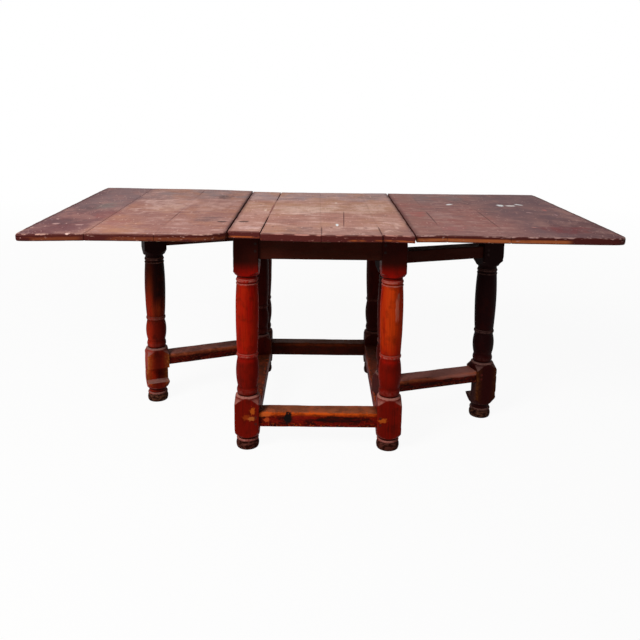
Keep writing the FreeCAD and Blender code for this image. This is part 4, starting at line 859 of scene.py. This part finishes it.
CENTRE = scrubbed_top_paint(
    "scrubbed_oil_paint_centre", ("#b77f70", "#cf9e90", "#c38d70", "#88554d", "#ecc4b6"),
    [
        # the first fade, greyer towards the back, is a painted reflection
        ("#ad9291", (1, 170, 270)), ("#c08d72", (1, -110, 0), (1, 220, 120)),
        ("#a3766c", (1, -280, -400), (0, -190, -170)),
    ],
    warm_from=(1, -900, -899),
    edge=(
        "#4a1a17", "#9a4c22", "#c48a7c", (747, 743), (0.36, 0.50),
        [(-288, -190), (90, 190), (200, 290)], [(-288, 290)],
    ),
    scratched=((214, -330), (60, 110), 0.9),
    marks=[
        ("#f6d2c2", (-40, 10), (150, 90), 0.6), ("#f2ccbe", (190, 60), (80, 120), 0.5),
        ("#f0c8ba", (-95, -84), (70, 20), 0.9), ("#ecc4b6", (-30, -110), (40, 16), 0.8),
        ("#e8c0b8", (-225, -360), (50, 30), 0.9), ("#e6beb0", (150, -340), (60, 26), 0.9),
        ("#e0b6a6", (110, -40), (80, 30), 0.7), ("#dcb0a0", (230, -180), (60, 40), 0.6),
        ("#876460", (-70, -380), (60, 60), 0.7), ("#7c6660", (200, 330), (70, 50), 0.7),
        ("#8a5a54", (-100, -230), (80, 40), 0.5), ("#9a4f4a", (-178, 20), (5, 140), 0.8, -1),
    ],
    chips=[
        ("#ffffff", (54, -293), (6, 24), 1.0), ("#f4d8c4", (-200, -20), (6, 20), 0.7),
        ("#f2dccb", (62, 170), (6, 24), 0.6), ("#3a1a14", (-255, -253), (22, 16), 0.85),
        ("#5a2a22", (80, -175), (2.6, 180), 0.85, -2), ("#4a211a", (3, -395), (2.6, 80), 0.75),
        ("#4a211a", (187, -385), (2.8, 85), 0.85, 0.8),
    ],
    seed=0.0,
)
LEFT = scrubbed_top_paint(
    "scrubbed_oil_paint_left", ("#a16e63", "#b88579", "#b67c62", "#72494a", "#d8b0a6"),
    [
        # the first fade, greyer towards the back, is a painted reflection
        ("#8f7876", (1, 130, 330)), ("#744a4c", (0, -704, -738)),
        ("#7e6364", (0, -704, -738), (1, -140, 40)), ("#5c2b31", (0, -735, -850), (1, -120, -310)),
        ("#65474a", (0, -850, -925)),
    ],
    warm_from=(0, -745, -700),
    edge=(
        "#421411", "#66301a", "#d8a898", (754, 748), (0.38, 0.52),
        [(-880, -722), (-640, -280)], [(-950, -700), (-400, -292)],
    ),
    scratched=((-640, 70), (90, 200), 1.0),
    marks=[
        ("#5f4648", (-840, -10), (60, 110), 0.8), ("#857870", (-790, 40), (50, 90), 0.6),
        ("#5c4044", (-830, -290), (70, 60), 0.8), ("#8f4f4c", (-740, -150), (50, 90), 0.6),
        ("#6c5452", (-380, -215), (60, 60), 0.6), ("#5a403c", (-386, 290), (40, 60), 0.8),
        ("#be8a6a", (-600, -420), (90, 40), 0.5), ("#c49276", (-560, 0), (70, 90), 0.6),
        ("#dcb4a8", (-560, 90), (110, 160), 0.55), ("#d8ac9e", (-400, 60), (80, 120), 0.5),
        ("#c8988e", (-500, 150), (60, 60), 0.5), ("#a0605a", (-660, -300), (50, 60), 0.5),
    ],
    chips=[
        ("#3a2020", (-327, -259), (20, 15), 0.85), ("#ecc4b8", (-759, -484), (9, 9), 1.0),
        ("#c8a09a", (-850, -330), (14, 14), 0.7), ("#c8a09a", (-770, -345), (16, 10), 0.7),
        ("#5a302a", (-501, -160), (2.4, 110), 0.8), ("#5a302a", (-501, 400), (2.6, 100), 0.8),
    ],
    seed=20.0,
)
RIGHT = scrubbed_top_paint(
    "scrubbed_oil_paint_right", ("#966660", "#a87a72", "#a05e54", "#6c4b4c", "#c8a098"),
    [
        # the first fade, greyer towards the back, is a painted reflection
        ("#836c6a", (1, 120, 320)), ("#6c4c50", (0, 570, 720)),
        ("#50252a", (0, 690, 870), (1, -40, -290)), ("#9a6a60", (0, 390, 380)),
    ],
    warm_from=(0, 700, 560),
    edge=(
        "#421613", "#95502b", "#c49a92", (753, 748), (0.26, 0.44),
        [(280, 760)], [(292, 360), (500, 944)],
    ),
    scratched=((520, 60), (60, 140), 0.25),
    marks=[
        ("#b5544e", (350, -60), (40, 60), 0.5), ("#b0605c", (430, -330), (60, 40), 0.5),
        ("#554044", (640, 40), (80, 80), 0.5), ("#b89088", (430, -90), (60, 90), 0.5),
        ("#7a2a2e", (790, -330), (110, 70), 0.7), ("#5a4246", (560, 230), (70, 60), 0.5),
        ("#8a2e2e", (300, -60), (10, 160), 0.4),
    ],
    chips=[
        ("#ffffff", (505, 168), (12, 20), 1.0, -40), ("#ffffff", (703, 159), (16, 26), 1.0),
        ("#fff6f2", (742, 154), (24, 16), 1.0), ("#ffffff", (782, 185), (11, 22), 1.0, 40),
        ("#c9a09c", (770, 0), (16, 8), 0.8, -50), ("#c0706c", (845, 60), (10, 20), 0.8),
        ("#c0949a", (854, -45), (5, 16), 0.8), ("#c88a84", (700, -290), (12, 8), 0.8, -50),
        ("#52302c", (388, -120), (2.6, 150), 0.8), ("#52302c", (582, -130), (2.6, 200), 0.8),
    ],
    seed=40.0,
)
LEG_RED = leg_paint(
    "brushed_red_oil_paint", ("#860800", "#a52c04", "#1e0400", "#a0675c", "#402018", "#6a1206"),
    # orange on the lit left of the front right leg's front, partly the paint and partly painted light;
    # painted shade darkening the lower bulbs and blocks
    [
        ("#a83004", (0, 208, 222), (0, 268, 240), (1, -250, -300), (2, 330, 440), (2, 592, 565)),
        ("#680900", (2, 318, 300)), ("#640800", (2, 260, 200)),
    ],
    shade_under_top=(592, 655),
    chips=[
        ("#a84c12", (-218, -368, 141), (10, 9, 15), 0.75),
        ("#b0602a", (-222, -368, 114), (15, 9, 9), 0.65),
        ("#a0420e", (-240, -368, 118), (14, 9, 12), 0.35),
        ("#ac4e14", (215, -368, 112), (18, 9, 10), 0.75), ("#a87868", (252, -356, 500), (9, 14, 60), 0.3),
    ],
)
GATE_DARK = leg_paint(
    "dark_red_oil_paint", ("#5a0e03", "#84300f", "#120000", "#8a625a", "#4a2c1e", "#a8622a"),
    # painted light and shade: dark on the left gate's right side up high and over the right gate, bright red
    # on the left gate's lit lower left
    [
        ("#220603", (0, -642, -610), (0, -200, -300), (2, 370, 430)),
        ("#8c1e06", (0, -618, -640), (2, 490, 380)), ("#160000", (0, 300, 400), (2, 190, 260)),
        ("#340200", (0, 300, 400), (2, 270, 190)),
    ],
    shade_under_top=(430, 600),
    chips=[("#e0a890", (-638, -16, 413), (5, 9, 7), 1.0)],
)
RAIL = rail_finish(
    "worn_red_brown_paint", ("#640800", "#c04a0c", "#150000", "#8e4e32", "#2b1006"),
    arris=(116, 128), dust_from=(0.7, 1.0), dim_runs=[(-300, -190), (190, 300)],
    chips=[
        ("#b4501c", (-182, -358, 124), (34, 9, 9), 0.9), ("#a4401a", (-172, -358, 106), (12, 9, 10), 0.8),
        ("#7a1208", (-60, -359, 114), (60, 9, 10), 0.6), ("#120201", (58, -359, 108), (110, 9, 13), 0.8),
        ("#0c0504", (-101, -359, 116), (18, 12, 28), 1.0),
    ],
)
GATE_BAR = rail_finish(
    "dark_red_gate_bars", ("#4c0800", "#96482a", "#140000", "#925a50", "#2e1008"),
    arris=(168, 180), dust_from=(0.5, 1.0), dim_runs=[],
    chips=[("#a46c62", (440, -115, 181), (190, 70, 12), 0.6)],
)
PEG = peg_finish("whittled_pine_pegs", "#400c06", "#541408", "#1c0805")
PLUG = peg_finish("worn_pine_plugs", "#94695e", "#7c5048", "#8c6058")
BARE = unpainted_pine("aged_unpainted_pine", "#8a6244", "#6a4528", "#3c2214", "#6d4c36")
IRON = rusted_iron("forged_iron_with_rust", "#2c2826", "#5a2f1c", "#8a8580")


# slot and finish of the turned pieces and of the bars, by the kind of body
TURNED = {"frame": ("leg_red_paint", LEG_RED), "gate": ("gate_dark_paint", GATE_DARK)}
BARS = {"frame": ("rail_paint", RAIL), "gate": ("gate_dark_paint", GATE_BAR), "leaf": ("bare_pine", BARE)}


def turned_piece(name, body, node, place, degrees, *turning):
    """A squared turning in place of a solid, turned about the upright and carried to a place in plan."""
    rings, marks = squared_turning(*turning)
    slot, finish = TURNED[body.split("_")[-1]]
    piece(name, body, node, capped_rings(turned_to(rings, place, degrees), marks), [finish])


def bar_piece(body, node, ends, width, wear, seed, notch=None, top=None):
    """A worn bar between two places in plan, in place of a solid, up to its top or a given one."""
    bottom, solid_top = SOLID[node][:, 2]
    slot, finish = BARS[body.split("_")[-1]]
    bar = worn_bar(*ends, width, bottom, top or solid_top, wear, seed, notch)
    piece(f"{node}_bar", body, node, bar, [finish])


def along_axis(node, axis, start, end):
    """Ends and width of a bar that runs along X, axis 0, or Y, axis 1, down the middle of its solid."""
    low, high = SOLID[node][:, 1 - axis]
    return [np.roll((place, (low + high) / 2), axis) for place in (start, end)], high - low


def fixed_legs():
    """Four legs alike, each with its own warm share, partly painted light, and share of painted shade."""
    rows = leg_stages(ankle=41, block=(66, 161), turned=(188, 598), high=617.5, swell=(52, 46), top=UNDERSIDE)
    # each leg's warm share, partly painted light, and its share of painted shade, high on the rear legs
    warm_and_shade_by_leg = {
        "front_left": (0.35, 0), "front_right": (1, 0), "rear_left": (0.1, 0.85), "rear_right": (0.1, 0.9),
    }
    for number, (corner, warm_and_shade) in enumerate(warm_and_shade_by_leg.items()):
        place = SOLID[f"{corner}_leg"].mean(0)
        turning = (rows, LEG_SIDE, 20 + 5 * number, *warm_and_shade)
        turned_piece(f"{corner}_turned_leg", "frame", f"{corner}_leg", place, 0, *turning)


def fixed_rails():
    """Aprons and stretchers between the legs' faces, the side ones lapped where a shut gate leg fits."""
    inner, outer = SOLID["front_left_leg"][1, 0] - 1, SOLID["front_left_leg"][1, 1] + 1
    half_lap, lap_face = LEG_SIDE / 2 + 2, 8.5
    for kind, wear in (("apron", (1, 2.5, 1, 1)), ("stretcher", (2, 4, 7, 5))):
        for number, (end, way) in enumerate((("front", -1), ("rear", 1))):
            node, start = f"{end}_{kind}", way * inner
            bar_piece("frame", node, *along_axis(node, 0, start, -start), wear, 50 + 5 * number)
        for side, way in SIDES.items():
            pivot, leg = JOINT[f"{side}_gate_swing"], SOLID[f"{side}_gate_leg"].mean(0)
            shut = pivot[1] + way * np.hypot(*(leg - pivot)[:2])
            # the bar runs so that the table's outside is on its right
            node, start = f"{side}_{kind}", way * outer
            lap = sorted(abs(shut + edge - start) for edge in (-half_lap, half_lap))
            bar_piece("frame", node, *along_axis(node, 1, start, -start), wear, 70 + way, (*lap, lap_face))


def swinging_gates():
    """Each gate stands on a line from its pintles to its leg, notched where the table's bars pass."""
    top = UNDERSIDE - 0.3
    notches = [(78.5, 135.5, -0.5), (655.0, top, -0.5)]
    shaft = {"turned": (214, 577), "high": 601, "swell": (40, 36)}
    leg_rows = leg_stages(ankle=50, block=(80, 187), top=top, **shaft)
    post_rows = [
        (POST_CLEAR, STRETCHER_TOP + 0.4),
        *squared_stages(low=187, blank=POST_CLEAR, slim=3.5, **shaft),
        (POST_CLEAR, APRON_BOTTOM - 0.4),
    ]
    for number, side in enumerate(SIDES):
        pivot, leg = JOINT[f"{side}_gate_swing"][:2], SOLID[f"{side}_gate_leg"].mean(0)[:2]
        way = (leg - pivot) / np.hypot(*(leg - pivot))
        heading = math.degrees(math.atan2(way[1], way[0]))
        gate = f"{side}_gate"
        # the left gate's warm share is partly painted light; the right gate's larger share is painted shade
        turning = (leg_rows, LEG_SIDE, 90 + number, 0.9 - 0.7 * number, 0.05 + 0.5 * number, notches)
        turned_piece(f"{gate}_turned_leg", gate, f"{gate}_leg", leg, heading, *turning)
        # the posts stand under the top and carry painted shade
        turning = (post_rows, POST_SIDE, 95 + number, 0.1, 0.6)
        turned_piece(f"{gate}_turned_post", gate, f"{side}_pivot_post", pivot, heading, *turning)
        # the bars run from 1 mm inside the post to 1 mm inside the leg
        ends = (pivot + (POST_SIDE / 2 - 1) * way, leg - (LEG_SIDE / 2 - 1) * way)
        for kind, width, wear in (("rail", 64, (1, 1, 1, 1)), ("stretcher", 66, (2, 2, 4, 4))):
            bar_piece(gate, f"{gate}_{kind}", ends, width, wear, 100 + number)


# the left leaf's front edge curves back to the hinged edge on an arc: radius, middle, last y
BEND, BEND_MIDDLE, BEND_END = 165.8, np.array([-400, -317.2]), -443
BEND_TURN = np.linspace(math.radians(-90), math.asin((BEND_END - BEND_MIDDLE[1]) / BEND), 16)[:-1]
# points between the corners, by side: the left and second centre boards touch in mid length
BENDS = {
    "centre_board_left": {1: [(-182.6, -200), (-179.3, -120), (-172.9, 180), (-172.8, 250)]},
    "centre_board_second": {3: [(-169.8, 250), (-172.7, 180), (-179.1, -120), (-179.2, -200)]},
    "left_leaf_inner_board": {
        0: list(BEND_MIDDLE + BEND * np.stack([np.cos(BEND_TURN), np.sin(BEND_TURN)], -1)),
    },
}
# body: (finish, slot, arris under the outer sides)
TOPS = {
    "left_leaf": (LEFT, "left_leaf_paint", 3.2),
    "frame": (CENTRE, "centre_top_paint", 1.6),
    "right_leaf": (RIGHT, "right_leaf_paint", 3.2),
}
# board, its corners from the front left, their radii, its right and left arris, its settlement
BOARDS = [
    ("left_leaf_outer_board", [(-914, -511), (-710.3, -487), (-735.3, 517), (-940, 530)],
     (26, 1, 1, 20), (0.6, OUTER), 0.1),
    ("left_leaf_middle_board", [(-709.7, -487), (-501.05, -487), (-501.05, 512), (-734.7, 517)],
     (1, 1, 1, 1), (0.15, 0.5), 0.1),
    ("left_leaf_inner_board", [(-500.95, -487), (-292, -443), (-292, 481), (-500.95, 512)],
     (1, 2, 1, 1), (HINGED, 0.15), 0.0),
    ("centre_board_left", [(-288, -419), (-187.5, -425), (-168.5, 450), (-288, 460)],
     (3, 1, 1, 2), (0.8, HINGED), 0.1),
    ("centre_board_second", [(-184.5, -451), (1.95, -464), (1.95, 449), (-165.5, 450)],
     (2, 1, 1, 1), (0.12, 0.8), 0.0),
    ("centre_board_third", [(2.05, -464), (187.95, -457), (175.95, 450), (2.05, 449)],
     (1, 1, 1, 1), (0.15, 0.12), 0.05),
    ("centre_board_right", [(188.05, -450), (288, -467), (288, 458), (176.05, 450)],
     (1, 3, 2, 1), (HINGED, 0.15), 0.0),
    ("right_leaf_inner_board", [(292, -452), (387.95, -446), (387.95, 456), (292, 459)],
     (3, 1, 1, 2), (0.15, HINGED), 0.1),
    ("right_leaf_middle_board", [(388.05, -446), (581.95, -455), (581.95, 458), (388.05, 456)],
     (1, 1, 1, 1), (0.15, 0.15), 0.05),
    ("right_leaf_outer_board", [(582.05, -455), (944, -461), (926, 472), (582.05, 458)],
     (1, 44, 20, 1), (OUTER, 0.15), 0.0),
]


def boards():
    """The boards of the top, painted above and bare below."""
    for number, (name, corners, radii, (right, left), settle) in enumerate(BOARDS):
        body = next((leaf for leaf in TOPS if name.startswith(leaf)), "frame")
        finish, slot, lower_arris = TOPS[body]
        arrises = (FRONT, right, BACK, left)
        bends = BENDS.get(name, {})
        board = worn_board(corners, radii, bends, arrises, lower_arris, settle, 200 + 10 * number)
        piece(f"{name}_scrubbed", body, name, board, [finish, BARE])


def battens():
    """Bare battens under the leaves, their tops 4 mm deep in the boards."""
    for number, side in enumerate(SIDES):
        for node in (f"{side}_leaf_front_batten", f"{side}_leaf_rear_batten"):
            ends, width = along_axis(node, 0, *SOLID[node][:, 0])
            wear = (1.5, 1.5, 0.2, 0.2)
            bar_piece(f"{side}_leaf", node, ends, width, wear, 120 + number, top=UNDERSIDE + 4)


def finish_small_parts():
    """Pegs, hinges and nails keep their solids; the pegs that show in the top have its worn colour."""
    for name, thing in frame["nodes"].items():
        if thing.hide_render:
            continue
        finish = PEG if "gate" in name or "frame" in name else PLUG
        thing.data.materials.clear()
        thing.data.materials.append(finish if name.endswith("pegs") else IRON)


def seen_directly(tree):
    """1 for what the camera and reflections see, 0 for the light that falls on the table."""
    path = add(tree, "LightPath")
    rays = [path.outputs[name] for name in ("Is Camera Ray", "Is Glossy Ray")]
    return add(tree, "Math", rays, operation="MAXIMUM")


def studio():
    """A pale floor under a white world, seen as white with the table's soft shadow on it."""
    material, tree = new_tree("pale_floor")
    where = add(tree, "TexCoord").outputs["Object"]
    away = add(tree, "VectorMath", (where,), operation="LENGTH").outputs["Value"]
    # white hides 94 % of the floor's own shade near the table and all of it from 6 m
    white = product(tree, seen_directly(tree), add(tree, "MapRange", (away, 1.5, 6.0, 0.94, 1.0)))
    plain = add(tree, "BsdfDiffuse", {"Color": "#dedcda"})
    lit = add(tree, "Emission", {"Color": "#ffffff", "Strength": 1.0})
    add(tree, "OutputMaterial", (add(tree, "MixShader", (white, plain, lit)),))
    mesh = bpy.data.meshes.new("floor")
    far = 20
    mesh.from_pydata([(-far, -far, 0), (far, -far, 0), (far, far, 0), (-far, far, 0)], [], [(0, 1, 2, 3)])
    mesh.materials.append(material)
    floor = placed("floor", mesh)
    world = bpy.data.worlds.new("studio")
    bpy.context.scene.world = world
    world.use_nodes = True
    tree = world.node_tree
    tree.nodes.clear()
    strength = product(tree, (seen_directly(tree), 0.2, 1.0))
    add(tree, "OutputWorld", (add(tree, "Background", {"Color": "#ffffff", "Strength": strength}),))
    area_lamp("key_lamp", place=(-2.4, -2.8, 3.0), target=(0, 0, 0.5), size=1.5, watts=190)
    bpy.context.scene.view_settings.view_transform = "Standard"


aim_camera()
studio()
fixed_legs()
fixed_rails()
swinging_gates()
boards()
battens()
finish_small_parts()
